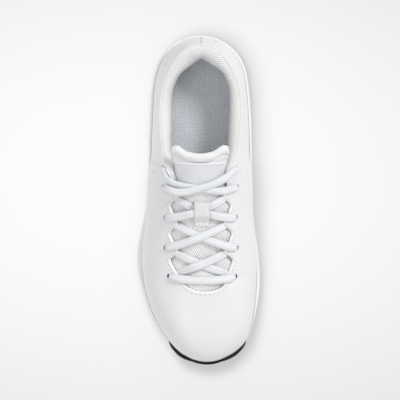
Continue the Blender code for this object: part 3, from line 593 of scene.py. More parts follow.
# Meshes
def grid_faces(rows, columns, close_rows=False, close_columns=False):
    """Quads of a grid of points numbered row by row."""
    i = np.arange(rows if close_rows else rows - 1)[:, None]
    j = np.arange(columns if close_columns else columns - 1)[None, :]
    k, n = (i + 1) % rows, (j + 1) % columns
    quads = np.stack([i * columns + j, i * columns + n, k * columns + n, k * columns + j], axis=-1)
    return [tuple(q) for q in quads.reshape(-1, 4).tolist()]


def add_piece(name, points, faces, material, lay=None, sharp=40):
    """A mesh object. Lay is a map of the cloth in millimetres, one row for each point."""
    mesh = bpy.data.meshes.new(name)
    mesh.from_pydata(np.asarray(points, float).tolist(), [], faces)
    if lay is not None:
        layer = mesh.attributes.new("lay", "FLOAT_VECTOR", "POINT")
        layer.data.foreach_set("vector", np.asarray(lay, np.float32).ravel())
    shell = bmesh.new()
    shell.from_mesh(mesh)
    bmesh.ops.recalc_face_normals(shell, faces=shell.faces[:])
    shell.to_mesh(mesh)
    shell.free()
    mesh.shade_smooth()
    mesh.set_sharp_from_angle(angle=math.radians(sharp))
    mesh.materials.append(material)
    made = bpy.data.objects.new(name, mesh)
    bpy.context.scene.collection.objects.link(made)
    return made


def tube(sections):
    """Points and faces of a closed solid through equal sections, with flat ends."""
    count, around = len(sections), len(sections[0])
    faces = grid_faces(count, around, close_columns=True)
    faces += [tuple(range(around)), tuple((count - 1) * around + i for i in range(around))]
    return np.vstack(sections), faces


def add_slab(name, face, back, material, lay, sharp):
    """A closed piece between two grids of points, with one cloth map for both."""
    sections = [np.vstack([a, b[::-1]]) for a, b in zip(face, back)]
    both = np.concatenate([lay, lay[:, ::-1]], axis=1).reshape(-1, 3)
    return add_piece(name, *tube(sections), material, both, sharp)


def stacked(loops):
    """Points and faces through ring loops from top to bottom, closed by strips across."""
    count, around = len(loops), len(loops[0])
    faces = grid_faces(count, around, close_columns=True)
    half = around // 2
    for start in (0, (count - 1) * around):
        for i in range(half):
            corners = [i, i + 1, (around - i - 1) % around, (around - i) % around]
            faces.append(tuple(start + c for c in dict.fromkeys(corners)))
    return np.vstack(loops), faces


def join_all(parts):
    """One set of points and faces from several."""
    points, faces, start = [], [], 0
    for some, those in parts:
        points.append(some)
        faces += [tuple(start + k for k in face) for face in those]
        start += len(some)
    return np.vstack(points), faces


def boolean(target, tool, operation):
    """Cuts or joins the tool, and removes it."""
    change = target.modifiers.new(operation.lower(), "BOOLEAN")
    change.operation = operation
    change.solver = "EXACT"
    change.object = tool
    bpy.context.view_layer.update()
    graph = bpy.context.evaluated_depsgraph_get()
    mesh = bpy.data.meshes.new_from_object(target.evaluated_get(graph))
    target.modifiers.remove(change)
    target.data = mesh
    bpy.data.objects.remove(tool)


def tree_of(objects):
    """One search tree over the faces of some pieces."""
    points, faces = [], []
    for item in objects:
        mesh = item.data
        start = len(points)
        points += [v.co.copy() for v in mesh.vertices]
        faces += [tuple(start + i for i in face.vertices) for face in mesh.polygons]
    return BVHTree.FromPolygons(points, faces)


def top_of(tree, x, y):
    """Height of the highest face at a plan point, 0 over an opening."""
    place, _, _, _ = tree.ray_cast(Vector((x, y, 1)), Vector((0, 0, -1)))
    return place.z if place else 0


# Materials
class Surface:
    """A material with one principled shader, and short ways to add nodes."""

    def __init__(self, name, colour, roughness, **sockets):
        self.material = bpy.data.materials.new(name)
        self.material.use_nodes = True
        self.tree = self.material.node_tree
        self.shader = self.tree.nodes["Principled BSDF"]
        self.shader.inputs["Base Color"].default_value = (*colour, 1)
        self.shader.inputs["Roughness"].default_value = roughness
        for socket, value in sockets.items():
            self.shader.inputs[socket.replace("_", " ").title().replace("Ior", "IOR")].default_value = value
        self.place = self.node("ShaderNodeTexCoord").outputs["Object"]

    def node(self, kind, **settings):
        """A new node with its settings."""
        made = self.tree.nodes.new(kind)
        for key, value in settings.items():
            setattr(made, key, value)
        return made

    def join(self, value, socket):
        """Links an output to a socket, or sets a constant on it."""
        if isinstance(value, bpy.types.NodeSocket):
            self.tree.links.new(value, socket)
        else:
            socket.default_value = value

    def calc(self, operation, a, b=0.0, c=0.0):
        """Output of a math node."""
        made = self.node("ShaderNodeMath", operation=operation)
        for value, socket in zip((a, b, c), made.inputs):
            self.join(value, socket)
        return made.outputs[0]

    def scaled(self, value, by, plus=0.0):
        """The value times one number or output, plus another."""
        return self.calc("MULTIPLY_ADD", value, by, plus)

    def split(self, vector):
        """The three parts of a vector."""
        made = self.node("ShaderNodeSeparateXYZ")
        self.join(vector, made.inputs[0])
        return made.outputs

    def lay(self):
        """The three parts of the cloth map, in millimetres."""
        return self.split(self.node("ShaderNodeAttribute", attribute_name="lay").outputs["Vector"])

    def texture(self, kind, size, **settings):
        """A texture over the object, with features of that size in metres."""
        made = self.node(kind, **settings)
        made.inputs["Scale"].default_value = 1 / size
        self.join(self.place, made.inputs["Vector"])
        return made

    def noise(self, size, detail=2.0):
        """Noise about 0.5."""
        made = self.texture("ShaderNodeTexNoise", size)
        made.inputs["Detail"].default_value = detail
        return made.outputs["Fac"]

    def cells(self, size):
        """Rounded cells."""
        return self.texture("ShaderNodeTexVoronoi", size, feature="SMOOTH_F1").outputs["Distance"]

    def wave(self, value, pitch):
        """0 to 1 and back over each pitch of the value."""
        turned = self.calc("SINE", self.scaled(value, 2 * math.pi / pitch))
        return self.scaled(turned, 0.5, 0.5)

    def spread(self, value, low, high):
        """A 0 to 1 value as a range."""
        return self.scaled(value, high - low, low)

    def tint(self, factor, low, high):
        """A colour between two, by the factor, on the shader."""
        made = self.node("ShaderNodeMix", data_type="RGBA")
        self.join(factor, made.inputs["Factor"])
        for colour, socket in ((low, made.inputs[6]), (high, made.inputs[7])):
            self.join((*colour, 1) if isinstance(colour, tuple) else colour, socket)
        self.join(made.outputs[2], self.shader.inputs["Base Color"])
        return made.outputs[2]

    def rough(self, value):
        """The value as the shader's roughness."""
        self.join(value, self.shader.inputs["Roughness"])

    def bump(self, height, distance, strength=1.0):
        """Relief of that depth in metres on the shader."""
        made = self.node("ShaderNodeBump")
        made.inputs["Distance"].default_value = distance
        made.inputs["Strength"].default_value = strength
        self.join(height, made.inputs["Height"])
        self.join(made.outputs[0], self.shader.inputs["Normal"])


def synthetic():
    """Smooth coated synthetic with a fine grain, cream at a cut edge, and a grey painted shade down the heel
    seam's groove.
    """
    m = Surface("white_synthetic", (0.81, 0.815, 0.83), 0.36, coat_weight=0.18, coat_roughness=0.22)
    cloudy = m.noise(0.028, 3)
    white = m.tint(cloudy, (0.79, 0.795, 0.81), (0.825, 0.83, 0.845))
    core, seam, _ = m.lay()
    edged = m.tint(core, white, (0.95, 0.93, 0.85))
    # Grey painted shade along the groove of the heel seam
    m.tint(seam, edged, (0.58, 0.58, 0.59))
    grain = m.scaled(m.noise(0.0035, 3), 0.8, m.cells(0.0009))
    m.rough(m.spread(m.noise(0.006, 3), 0.31, 0.43))
    m.bump(grain, 0.00007, 0.7)
    return m.material


def ribbed_mesh(name, light, dark, slant, cross, depth):
    """Knitted mesh with ribs slanted across the cloth and rungs at a pitch of cross between them."""
    m = Surface(name, light, 0.82, sheen_weight=0.25, sheen_roughness=0.5)
    along, down, soft = m.lay()
    wobble = m.scaled(m.noise(0.006, 2), 0.4, m.scaled(down, slant, along))
    ribs = m.calc("POWER", m.wave(wobble, 2.0), 0.7)
    rungs = m.wave(m.scaled(along, 0.25, down), cross)
    knit = m.scaled(m.scaled(ribs, rungs), 0.06, m.scaled(ribs, 0.94))
    # Where the third part of the cloth map is high, the ribs flatten and the knit darkens: a softer knit,
    # and a painted shade on the tongue's band, which faces the light
    knit = m.scaled(m.calc("SUBTRACT", 0.1, knit), soft, knit)
    m.tint(m.scaled(m.noise(0.0012, 2), 0.16, knit), dark, light)
    m.rough(m.spread(knit, 0.9, 0.74))
    m.bump(knit, depth)
    return m.material


def insole_knit():
    """Grey diamond knit."""
    m = Surface("grey_textile", (0.4, 0.42, 0.46), 0.9, sheen_weight=0.3, sheen_roughness=0.5)
    x, y, _ = m.split(m.place)
    one, two = (m.wave(m.scaled(y, slant, x), 0.0021) for slant in (0.9, -0.9))
    pits = m.scaled(one, two)
    fine = m.scaled(m.noise(0.0007, 2), 0.25, pits)
    m.tint(fine, (0.94, 0.98, 1.0), (0.385, 0.425, 0.51))
    m.bump(m.calc("SUBTRACT", 1.0, pits), 0.0004)
    return m.material


def woven_label():
    """Smooth woven label: fine threads both ways."""
    m = Surface("pale_label", (0.66, 0.68, 0.73), 0.6, sheen_weight=0.2)
    along, down, _ = m.lay()
    weave = m.scaled(m.wave(along, 0.62), m.wave(down, 0.5))
    soft = m.scaled(m.noise(0.006, 3), 0.5, m.scaled(weave, 0.5))
    m.tint(soft, (0.79, 0.80, 0.83), (0.88, 0.89, 0.915))
    m.bump(weave, 0.00012)
    return m.material


def woven_lace(name, light, dark, pitch):
    """Flat-woven cord or webbing: slanted threads meeting in a herringbone."""
    m = Surface(name, light, 0.75, sheen_weight=0.3, sheen_roughness=0.4)
    along, across, _ = m.lay()
    column = 1.3
    threads = m.wave(m.scaled(m.calc("PINGPONG", across, column), 0.9, along), pitch)
    weave = m.scaled(m.wave(across, column), 0.35, m.scaled(threads, 0.65))
    m.tint(m.scaled(m.noise(0.002, 2), 0.25, weave), dark, light)
    m.rough(m.spread(weave, 0.85, 0.65))
    m.bump(weave, 0.00028)
    return m.material


def foam():
    """Moulded midsole foam with a fine stipple."""
    m = Surface("white_foam", (0.82, 0.82, 0.825), 0.5)
    m.tint(m.noise(0.012, 3), (0.85, 0.85, 0.85), (0.89, 0.89, 0.895))
    m.rough(m.spread(m.noise(0.003, 2), 0.45, 0.6))
    m.bump(m.calc("ADD", m.cells(0.0011), m.noise(0.0006, 2)), 0.00009)
    return m.material


def rubber():
    """Satin black rubber with a moulded grain and light scuffs."""
    m = Surface("black_rubber", (0.009, 0.0088, 0.009), 0.42, specular_ior_level=0.26)
    worn = m.calc("POWER", m.noise(0.009, 5), 3.0)
    m.tint(worn, (0.006, 0.0059, 0.0061), (0.028, 0.0275, 0.028))
    m.rough(m.spread(m.noise(0.004, 4), 0.34, 0.56))
    m.bump(m.scaled(m.noise(0.0003, 2), 0.5, m.cells(0.0008)), 0.00006)
    return m.material


def thread(name, dark, light):
    """Sewing thread, twisted."""
    m = Surface(name, light, 0.7)
    m.tint(m.noise(0.0009, 2), dark, light)
    m.bump(m.noise(0.0004, 2), 0.0001)
    return m.material


SYNTHETIC = synthetic()
LINING = ribbed_mesh("white_lining_mesh", (0.92, 0.92, 0.92), (0.72, 0.715, 0.71), -0.6, 1.5, 0.00042)
TONGUE_MESH = ribbed_mesh("white_tongue_mesh", (0.998, 0.998, 0.998), (0.70, 0.69, 0.71), 0.55, 1.3, 0.00045)
INSOLE_KNIT = insole_knit()
LABEL = woven_label()
LACE = woven_lace("white_lace", (0.91, 0.925, 0.945), (0.64, 0.655, 0.68), 1.35)
WEBBING = woven_lace("white_webbing", (0.93, 0.935, 0.94), (0.83, 0.835, 0.845), 0.9)
FOAM = foam()
RUBBER = rubber()
# Grey thread, darkened further as painted shade of the stitch holes along the throat and the label
GREY_THREAD_PAINTED_SHADE = thread("grey_thread_painted_shade", (0.58, 0.57, 0.60), (0.72, 0.71, 0.74))
WHITE_THREAD = thread("white_thread", (0.94, 0.94, 0.94), (0.99, 0.99, 0.99))
# Near-black painted shade for the walls of the small holes in the upper
PAINTED_HOLE_SHADE = Surface("painted_hole_shade", (0.035, 0.034, 0.034), 0.9).material


# Upper
def fine_positions():
    """Medial loop positions of the upper's columns, closest along the throat and at the seams."""
    seam = PANEL_U + PANEL_EDGE * np.array([-4, -1.2, -0.4, 0.4, 1.2, 4])
    toe = np.linspace(0, TAB_U[0], TOE_COLUMNS, endpoint=False)
    throat = np.linspace(TAB_U[0], TAB_U[-1], THROAT_COLUMNS, endpoint=False)
    collar = np.linspace(TAB_U[-1], 0.99, COLLAR_COLUMNS)
    columns = np.concatenate([toe, throat, collar])
    columns = columns[np.abs(columns - PANEL_U) > 5 * PANEL_EDGE]
    return np.sort(np.concatenate([columns, seam, HEEL_COLUMNS]))


def heel_run(s):
    """Distance from the seam at the back of the heel."""
    return (1 - side_share(s)) / (SECTION_U[-1] - SECTION_U[-2]) * HEEL_ROUND


def relief(s, t):
    """How far the outer face is set back: panel step, heel seam, creases, dimples at the eyelets."""
    half_edge = 0.5 * PANEL_EDGE
    depth = PANEL_STEP * ease(side_share(s), PANEL_U - half_edge, PANEL_U + half_edge)
    depth += HEEL_SEAM * hump(heel_run(s), HEEL_SEAM_WIDTH)
    depth += HEEL_LAP * ease(1 - s, 0, HEEL_LAP_REACH) * (s > HEEL_LAP_START)
    point, _ = skin_frame(s, t)
    for row in named_rows(CREASE_COLUMNS, CREASES):
        start, end = np.array(row["start"]) * MM, np.array(row["end"]) * MM
        line = end - start
        plan = point[:, :2] - start
        share = plan @ line / (line @ line)
        off = np.linalg.norm(plan - np.outer(share, line), axis=1)
        fade = ease(share, *CREASE_FADE_IN) * (1 - ease(share, *CREASE_FADE_OUT))
        depth += row["depth"] * MM * fade * hump(off, row["width"] * MM)
    for place in skin(*eyelet_places()):
        depth += EYELET_DIMPLE * hump(np.linalg.norm(point - place, axis=1), EYELET_DIMPLE_WIDTH)
    return depth


def make_upper():
    """One wall from feather to edge: cut sharp along the throat, folded round at the collar."""
    s = whole_ring(fine_positions())
    u = side_share(s)
    cut = notch_depth(s)
    folded = ease(u, TAB_U[-1] - 0.01, TAB_U[-1] + 0.03)
    bevel, skive, radius = (
        size + (FOLD_RADIUS - size) * folded for size in (CUT_BEVEL, CUT_SKIVE, CUT_RADIUS)
    )
    top = edge_t(s, cut + bevel)
    shares = np.linspace(0, 1, OUTER_ROWS) ** 0.9
    outer = [skin(s, top * share, relief(s, top * share)) for share in shares]
    step = relief(s, top)
    edge = []
    for turn in np.radians((30, 60, 90)):
        t = edge_t(s, cut + bevel * (1 - math.sin(turn)))
        edge.append(skin(s, t, step + skive * (1 - math.cos(turn))))
    for turn in np.radians((90, 60, 30)):
        t = edge_t(s, cut + radius * (1 - math.sin(turn)))
        edge.append(skin(s, t, WALL - radius * (1 - math.cos(turn))))
    top = edge_t(s, cut + radius)
    inner = [skin(s, top * share, WALL) for share in np.linspace(1, 0, INNER_ROWS)]
    rows = outer + edge + inner
    faces = grid_faces(len(rows), len(s), close_rows=True, close_columns=True)
    core = 1 - ease(u, TAB_U[-1] - 0.025, TAB_U[-1] - 0.002)
    on_edge = np.repeat((0, 1, 0), (len(outer), len(edge), len(inner)))
    # Share of the grey painted shade along the heel seam's groove
    seam = np.tile(hump(heel_run(s), HEEL_SEAM_SHADE_WIDTH), len(rows))
    lay = np.column_stack([np.outer(on_edge, core).ravel(), seam, 0 * seam])
    return add_piece("upper_shell", np.vstack(rows), faces, SYNTHETIC, lay)


def punches(places, normals, diameter, out, deep, sides=16):
    """Points and faces of round punches along the normals."""
    turns = np.arange(sides) * 2 * math.pi / sides
    parts = []
    for place, axis in zip(places, normals):
        first = unit(np.cross(axis, (0, 1, 0.2)))
        second = np.cross(axis, first)
        circle = (np.outer(np.cos(turns), first) + np.outer(np.sin(turns), second)) * diameter / 2
        parts.append(tube([place + axis * out + circle, place - axis * deep + circle]))
    return parts


def punch_upper(upper):
    """Cuts the eyelets, the unused lace holes and the pinholes. The walls of the pinholes and unused lace
    holes get a near-black painted shade.
    """
    parts = punches(*skin_frame(*eyelet_places()), EYELET_DIAMETER, 2 * WALL, 3 * WALL)
    y, drop = np.array(PINHOLES).T
    s = both_sides(edge_u(0.5 - y * MM / LENGTH))
    t = edge_t(s, np.concatenate([drop + PINHOLE_DROP_MEDIAL, drop]) * MM)
    small = punches(*skin_frame(s, t), PINHOLE_DIAMETER, WALL, 1.3 * WALL, 12)
    spare = surface_line(tree_of([upper]), np.array(SPARE_HOLES) * MM)
    small += punches(*spare, SPARE_DIAMETER, WALL, 3 * WALL, 12)
    # The walls of the pinholes and unused lace holes take the near-black painted shade
    for material, group in ((SYNTHETIC, parts), (PAINTED_HOLE_SHADE, small)):
        boolean(upper, add_piece("punches", *join_all(group), material), "DIFFERENCE")


# Collar lining
def make_lining():
    """Padded roll inside the collar, with a heel pad and side pads that dip between."""
    u = np.linspace(TAB_U[-1], 1, 150)
    s = np.concatenate([u, 2 - u[-2::-1]])
    place, lateral, medial = np.array(PAD_ROWS).T
    thick = np.where(s > 1, spline(place, lateral)(2 - s)[:, 0], spline(place, medial)(s)[:, 0]) * MM
    dip = PAD_DIP * hump(side_share(s) - edge_u(PAD_DIP_STATION), PAD_DIP_WIDTH)
    fit = WALL + GAP
    back = [skin(s, share, fit) for share in np.linspace(COLLAR_LOW, 0.982, 7)]
    curve = spline(np.arange(len(COLLAR_FRONT)), COLLAR_FRONT)
    front = []
    for share, fill in curve(np.linspace(0, len(COLLAR_FRONT) - 1, 34)):
        pad = fill * thick * (1 - dip * ease(fill, 0.3, 0.9))
        front.append(skin(s, share, fit + LINING_STAND * min(1, 4 * fill) + pad))
    sections = np.stack(back + front, axis=1)
    crest = sections[:, len(back) + 3]
    across = np.array([run_of(section) for section in sections])
    along = np.repeat(run_of(crest)[:, None], sections.shape[1], axis=1)
    lay = np.stack([along, across, 0 * across], axis=-1).reshape(-1, 3) / MM
    return add_piece("collar_lining", *tube(sections), LINING, lay, 70)


# Tongue
def dome(u, samples=41):
    """Section across the throat at medial position u, from under the lateral eyestay to the medial."""
    shares = np.linspace(0.55, 1, samples)
    lateral, medial = skin(2 - u, shares), skin(u, shares)
    pull = 0.36 * np.linalg.norm(medial[-1] - lateral[-1])
    arms = [unit(side[-1] - side[-2]) * pull for side in (lateral, medial)]
    bridge = np.array([[lateral[-1], lateral[-1] + arms[0], medial[-1] + arms[1], medial[-1]]])
    across = np.linspace(0, 1, samples)[1:-1]
    middle = on_profile(np.repeat(bridge, len(across), axis=0), across)
    return np.vstack([lateral, middle, medial[::-1]])


def along_section(points, half_width, count):
    """Points at even distances along a section, measured from its middle."""
    run = run_of(points)
    wanted = run[len(run) // 2] + np.linspace(-half_width, half_width, count)
    return points_at(wanted, run, points)


def tongue_grid():
    """Dome over the tongue as rows of points from its toe end to its free top, with normals."""
    vamp = tree_of([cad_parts["upper"]])
    rows = []
    for station, half_width in TONGUE_THROAT_ROWS:
        rows.append(along_section(dome(float(edge_u(station))), half_width * MM, TONGUE_COLUMNS))

    def beyond(row, run, rise, half_width, crown):
        middle = row[TONGUE_COLUMNS // 2]
        widths = np.linspace(-half_width, half_width, TONGUE_COLUMNS) * MM
        drop = (row[:, 2] - middle[2]) * crown
        lag = (row[:, 1] - middle[1]) * crown
        x, y, z = middle
        return np.column_stack([x + widths, y + run * MM + lag, z + rise * MM + drop])

    def seat(row, run, half_width):
        x, y, _ = row[TONGUE_COLUMNS // 2] + (0, run * MM, 0)
        across = x + np.linspace(-half_width, half_width, TONGUE_COLUMNS) * MM
        return np.array([(w, y, top_of(vamp, w, y) - TONGUE_SEAT) for w in across])

    seats = np.array([seat(rows[0], *values) for values in TONGUE_SEAT_ROWS])
    toe = list(seats + (0, 0, TONGUE_DEPTH))
    toe += [beyond(rows[0], *values) for values in TONGUE_TOE_ROWS]
    top = [beyond(rows[-1], *values) for values in TONGUE_TOP_ROWS]
    grid = np.array(toe + rows + top)
    along, across = np.gradient(grid, axis=0), np.gradient(grid, axis=1)
    normal = unit(np.cross(across, along))
    grid[:len(seats)] = seats + normal[:len(seats)] * TONGUE_DEPTH
    offside = np.abs(np.linspace(-1, 1, TONGUE_COLUMNS))
    horn = look_up(offside, TONGUE_HORN) * MM
    for k, share in ((-1, 1.0), (-2, 0.4)):
        grid[k] += unit(along[k]) * (horn * share)[:, None]
    return grid, normal


def finer(grid, rows, columns):
    """A grid of points or normals at fine row and column numbers."""
    deep = spline(np.arange(grid.shape[0]), grid)(rows).reshape(len(rows), grid.shape[1], 3)
    wide = spline(np.arange(grid.shape[1]), deep.transpose(1, 0, 2))(columns)
    return wide.reshape(len(columns), len(rows), 3).transpose(1, 0, 2)


TONGUE_POINTS, TONGUE_NORMALS = tongue_grid()


def tongue_patch(rows, columns):
    """Points, unit normals and a cloth map of a part of the tongue's dome."""
    grid = finer(TONGUE_POINTS, rows, columns)
    normal = unit(finer(TONGUE_NORMALS, rows, columns))
    down = run_of(grid[:, grid.shape[1] // 2])
    across = np.array([run_of(row) - run_of(row)[-1] / 2 for row in grid])
    lay = np.stack([across, np.repeat(down[:, None], grid.shape[1], axis=1), 0 * across], axis=-1) / MM
    return grid, normal, lay


def round_edge(distance, radius):
    """Share of the full thickness near a rounded edge."""
    x = np.clip(1 - distance / radius, 0, 1)
    return np.sqrt(1 - x * x)


def tongue_swell(y, columns):
    """How far the padding swells between the throat's tabs and at its toe end, by row and column."""
    notched = notch_depth(edge_u(0.5 - y / LENGTH)) / NOTCH_DEPTHS[1]
    offside = np.abs(2 * columns / (TONGUE_COLUMNS - 1) - 1)
    toe = look_up(y / MM, TONGUE_TOE_SWELL)
    return np.maximum(np.outer(notched, ease(offside, 0.15, 0.5)), toe[:, None]) * TONGUE_SWELL


def make_tongue():
    """Padded tongue: rounded sides, a rolled band along its free top and a sewn channel under it."""
    last = len(TONGUE_POINTS) - 1
    low_rows = np.linspace(0, TONGUE_BEND_ROW, 70, endpoint=False)
    top_rows = last - (last - TONGUE_BEND_ROW) * np.linspace(1, 0, 56) ** 1.3
    turns = np.linspace(0.06, 1 - 0.06, 57) * math.pi
    across = 0.5 - 0.5 * np.cos(turns) / math.cos(turns[0])
    columns = TONGUE_INSET + (TONGUE_COLUMNS - 1 - 2 * TONGUE_INSET) * across
    grid, normal, lay = tongue_patch(np.concatenate([low_rows, top_rows]), columns)
    side = np.minimum(lay[:, :, 0] - lay[:, :1, 0], lay[:, -1:, 0] - lay[:, :, 0]) * MM
    run = np.array([run_of(line[::-1])[::-1] for line in grid.transpose(1, 0, 2)]).T
    band = np.sin(np.clip(run / TONGUE_BAND, 0, 1) * math.pi) ** 0.7
    channel = hump(run - TONGUE_BAND - CHANNEL_OFFSET, CHANNEL_WIDTH)
    full = round_edge(side, TONGUE_SIDE_RADIUS) * round_edge(run, TONGUE_TOP_RADIUS)
    full = np.maximum(full, TONGUE_RIM)
    half = TONGUE_THICKNESS / 2
    swell = tongue_swell(grid[:, grid.shape[1] // 2, 1], columns)
    rise = (half + swell + BAND_RISE * band) * full - CHANNEL_DEPTH * channel
    fall = (half + BAND_FALL * band) * full
    middle = grid - normal * (TONGUE_DEPTH + half)
    top, bottom = middle + normal * rise[:, :, None], middle - normal * fall[:, :, None]
    # Band share for the mesh: flatter ribs, and a darker knit as painted shade on the band, which faces the
    # light
    lay[:, :, 2] = 0.5 * (1 - ease(run, TONGUE_BAND - 1.5 * MM, TONGUE_BAND + 0.5 * MM))
    return add_slab("tongue_body", top, bottom, TONGUE_MESH, lay, 75)


def from_ends(count):
    """How many steps each place in a row is from its nearer end."""
    places = np.arange(count)
    return np.minimum(places, places[::-1])


def make_label():
    """Bare woven label sewn on the tongue under the band, with softly lifted edges."""
    first, last = (len(TONGUE_POINTS) + row for row in LABEL_ROWS)
    rows = np.linspace(first - LABEL_OVER_ROWS, last + LABEL_OVER_ROWS, 40)
    start = LABEL_BARE - LABEL_OVER_COLUMNS
    columns = np.linspace(start, TONGUE_COLUMNS - 1 - start, 44)
    grid, normal, lay = tongue_patch(rows, columns)
    ripple = LABEL_RIPPLE * np.sin(lay[:, :, 0] / 5.2 + 0.4) * np.sin(lay[:, :, 1] / 4.1)
    rim = np.minimum(*np.ix_(from_ends(len(rows)), from_ends(len(columns))))
    soft = round_edge(rim * LABEL_EDGE_STEP, LABEL_EDGE)
    high = TONGUE_DEPTH - GAP - LABEL_THICKNESS * (0.25 + 0.75 * soft) - ripple
    top, bottom = grid - normal * high[:, :, None], grid - normal * (TONGUE_DEPTH - 0.05 * MM)
    return add_slab("tongue_top_label", top, bottom, LABEL, lay, 60)


def make_keeper(tongue):
    """Webbing sewn down at its toe end, arched over the third crossing."""
    tree = tree_of([tongue])
    x = np.linspace(*KEEPER_X, 13)
    length = KEEPER_Y[1] - KEEPER_Y[0]
    low, lay = [], []
    for share in np.linspace(0, 1, 46):
        y = KEEPER_Y[0] + share * length
        climb = (ease(share, *KEEPER_CLIMB) + np.interp(share, KEEPER_CLIMB, (0, 1))) / 2
        lift = KEEPER_SIT + KEEPER_ARCH * climb * (1 - ease(share, *KEEPER_FALL))
        base = top_of(tree, float(np.mean(KEEPER_X)), y)
        slump = KEEPER_SLUMP * (np.array([top_of(tree, place, y) for place in x]) - base)
        low.append(np.column_stack([x, 0 * x + y, base + lift + slump]))
        lay.append(np.column_stack([0 * x + share * length * 1.4, x, 0 * x]) / MM)
    edge = round_edge(np.minimum(x - x[0], x[-1] - x), KEEPER_EDGE)
    high = np.array(low) + np.outer(KEEPER_THICKNESS * (0.45 + 0.55 * edge), (0, 0, 1))
    return add_slab("keeper_webbing", low, high, WEBBING, np.array(lay), 60)


# Lace
def taut(run, height):
    """Heights of a string pulled tight over the given ones."""
    keep = [0]
    for i in range(1, len(run)):
        while len(keep) > 1:
            a, b = keep[-2], keep[-1]
            if (height[b] - height[a]) * (run[i] - run[a]) > (height[i] - height[a]) * (run[b] - run[a]):
                break
            keep.pop()
        keep.append(i)
    return np.interp(run, run[keep], height[keep])


def plan_curve(points, step=0.8 * MM):
    """Even steps along a smooth plan curve."""
    points = np.asarray(points, float) * MM
    curve = spline(run_of(points), points)(np.linspace(0, run_of(points)[-1], 400))
    run = run_of(curve)
    wanted = np.linspace(0, run[-1], max(8, int(run[-1] / step)))
    return points_at(wanted, run, curve)


def sagged(start, end, sag):
    """Plan points of a strand that sags towards the toe."""
    start, end = np.asarray(start, float), np.asarray(end, float)
    bend = (start + end) / 2 - (0, sag)
    share = np.linspace(0, 1, 9)
    weights = np.column_stack([(1 - share) ** 2, 2 * share * (1 - share), share**2])
    return weights @ np.array([start, bend, end])


def strand(path, shell, floor, tucked, below=None):
    """Centre line and side vectors of a strand lying on what is under it. A tucked start lies on the
    tongue under a tab. Below is the centre line of the strand that this one crosses."""
    heading = unit(np.gradient(path, axis=0))
    side = np.column_stack([-heading[:, 1], heading[:, 0]])
    run = run_of(path)
    levels = []
    for k in (-0.8, 0, 0.8):
        probe = path + k * LACE_WIDTH / 2 * side
        low, high = (np.array([top_of(tree, *p) for p in probe]) for tree in (floor, shell))
        if tucked:
            high[:np.argmax(high < low + LACE_CLEAR)] = 0
        levels.append(np.maximum(low, high))
    left, middle, right = (taut(run, level) for level in levels)
    tilt = unit(np.column_stack([side, soften((right - left) / (0.8 * LACE_WIDTH), 3)]))
    up = unit(np.cross(np.column_stack([heading, soften(np.gradient(middle, run), 3)]), tilt))
    height = np.maximum(middle, (left + right) / 2) + (LACE_THICKNESS / 2 + LACE_REST) / up[:, 2]
    if below is not None:
        for i, p in enumerate(path):
            away = np.linalg.norm(below[:, :2] - p, axis=1)
            near = np.argmin(away)
            swell = 1 - (away[near] / (0.95 * LACE_WIDTH)) ** 2
            if swell > 0:
                height[i] = max(height[i], below[near, 2] + 0.92 * LACE_THICKNESS * math.sqrt(swell))
    height = soften(taut(run, height), 2)
    return np.column_stack([path, height]), tilt


def eyelet_frames():
    """Point and normal of each eyelet, by side and row."""
    rows = range(len(EYELET_STATIONS))
    keys = [(side, row) for side in ("medial", "lateral") for row in rows]
    return dict(zip(keys, zip(*skin_frame(*eyelet_places()))))


def lace_strands(eyelets, shell, floor):
    """The strands by side and row of the eyelet where each ends, and the bar over the first row."""
    plan = {key: point[:2] / MM for key, (point, _) in eyelets.items()}
    strands = {}

    def add_crossing(row, paths, tucked):
        below = None
        for side in ("medial", "lateral"):
            strands[side, row] = strand(plan_curve(paths[side]), shell, floor, tucked, below)
            below = strands[side, row][0]

    for row, top_start, under_start, sag in LACE_CROSSINGS:
        paths = {}
        for side, start in (("lateral", top_start), ("medial", under_start)):
            end = plan[side, row]
            if row == 0:
                end = start + (end - start) * LACE_FIRST_REACH[side]
            paths[side] = sagged(start, end, sag)
        add_crossing(row, paths, True)
    top = len(EYELET_STATIONS) - 1
    paths = {
        "medial": (plan["lateral", top], *LACE_UNDER_PATH, plan["medial", top - 1]),
        "lateral": (plan["medial", top], *LACE_TOP_PATH, plan["lateral", top - 1]),
    }
    add_crossing(top - 1, paths, False)
    bar_path = sagged(plan["lateral", 0], plan["medial", 0], LACE_BAR_SAG)
    return strands, strand(plan_curve(bar_path), shell, floor, False)


def through_eyelet(side, point, normal):
    """Points through an eyelet from outside to inside, along the rim that is nearer the throat."""
    inner = np.array((-1.0 if side == "medial" else 1.0, 0, 0))
    inner = unit(inner - inner @ normal * normal)
    return point + LACE_HUG * inner - np.outer(LACE_HOLE_DEPTHS, normal)


def half_route(side, eyelets, strands):
    """Legs from the first row's eyelet on one side to the top eyelet where that half ends. A leg is its
    points and their side vectors, which a leg through an eyelet lacks."""
    top = len(EYELET_STATIONS) - 1
    legs = [(through_eyelet(side, *eyelets[side, 0]), None)]
    for row in range(top):
        line, tilt = strands[side, row]
        if row > 0:
            legs.append((through_eyelet(side, *eyelets[side, row])[::-1], None))
        skip = 3 if row > 0 else 2
        legs.append((line[::-1][skip:], tilt[::-1][skip:]))
        side = "lateral" if side == "medial" else "medial"
    line, tilt = legs[-1]
    legs[-1] = (line[:-3], tilt[:-3])
    legs.append((through_eyelet(side, *eyelets[side, top]), None))
    return legs


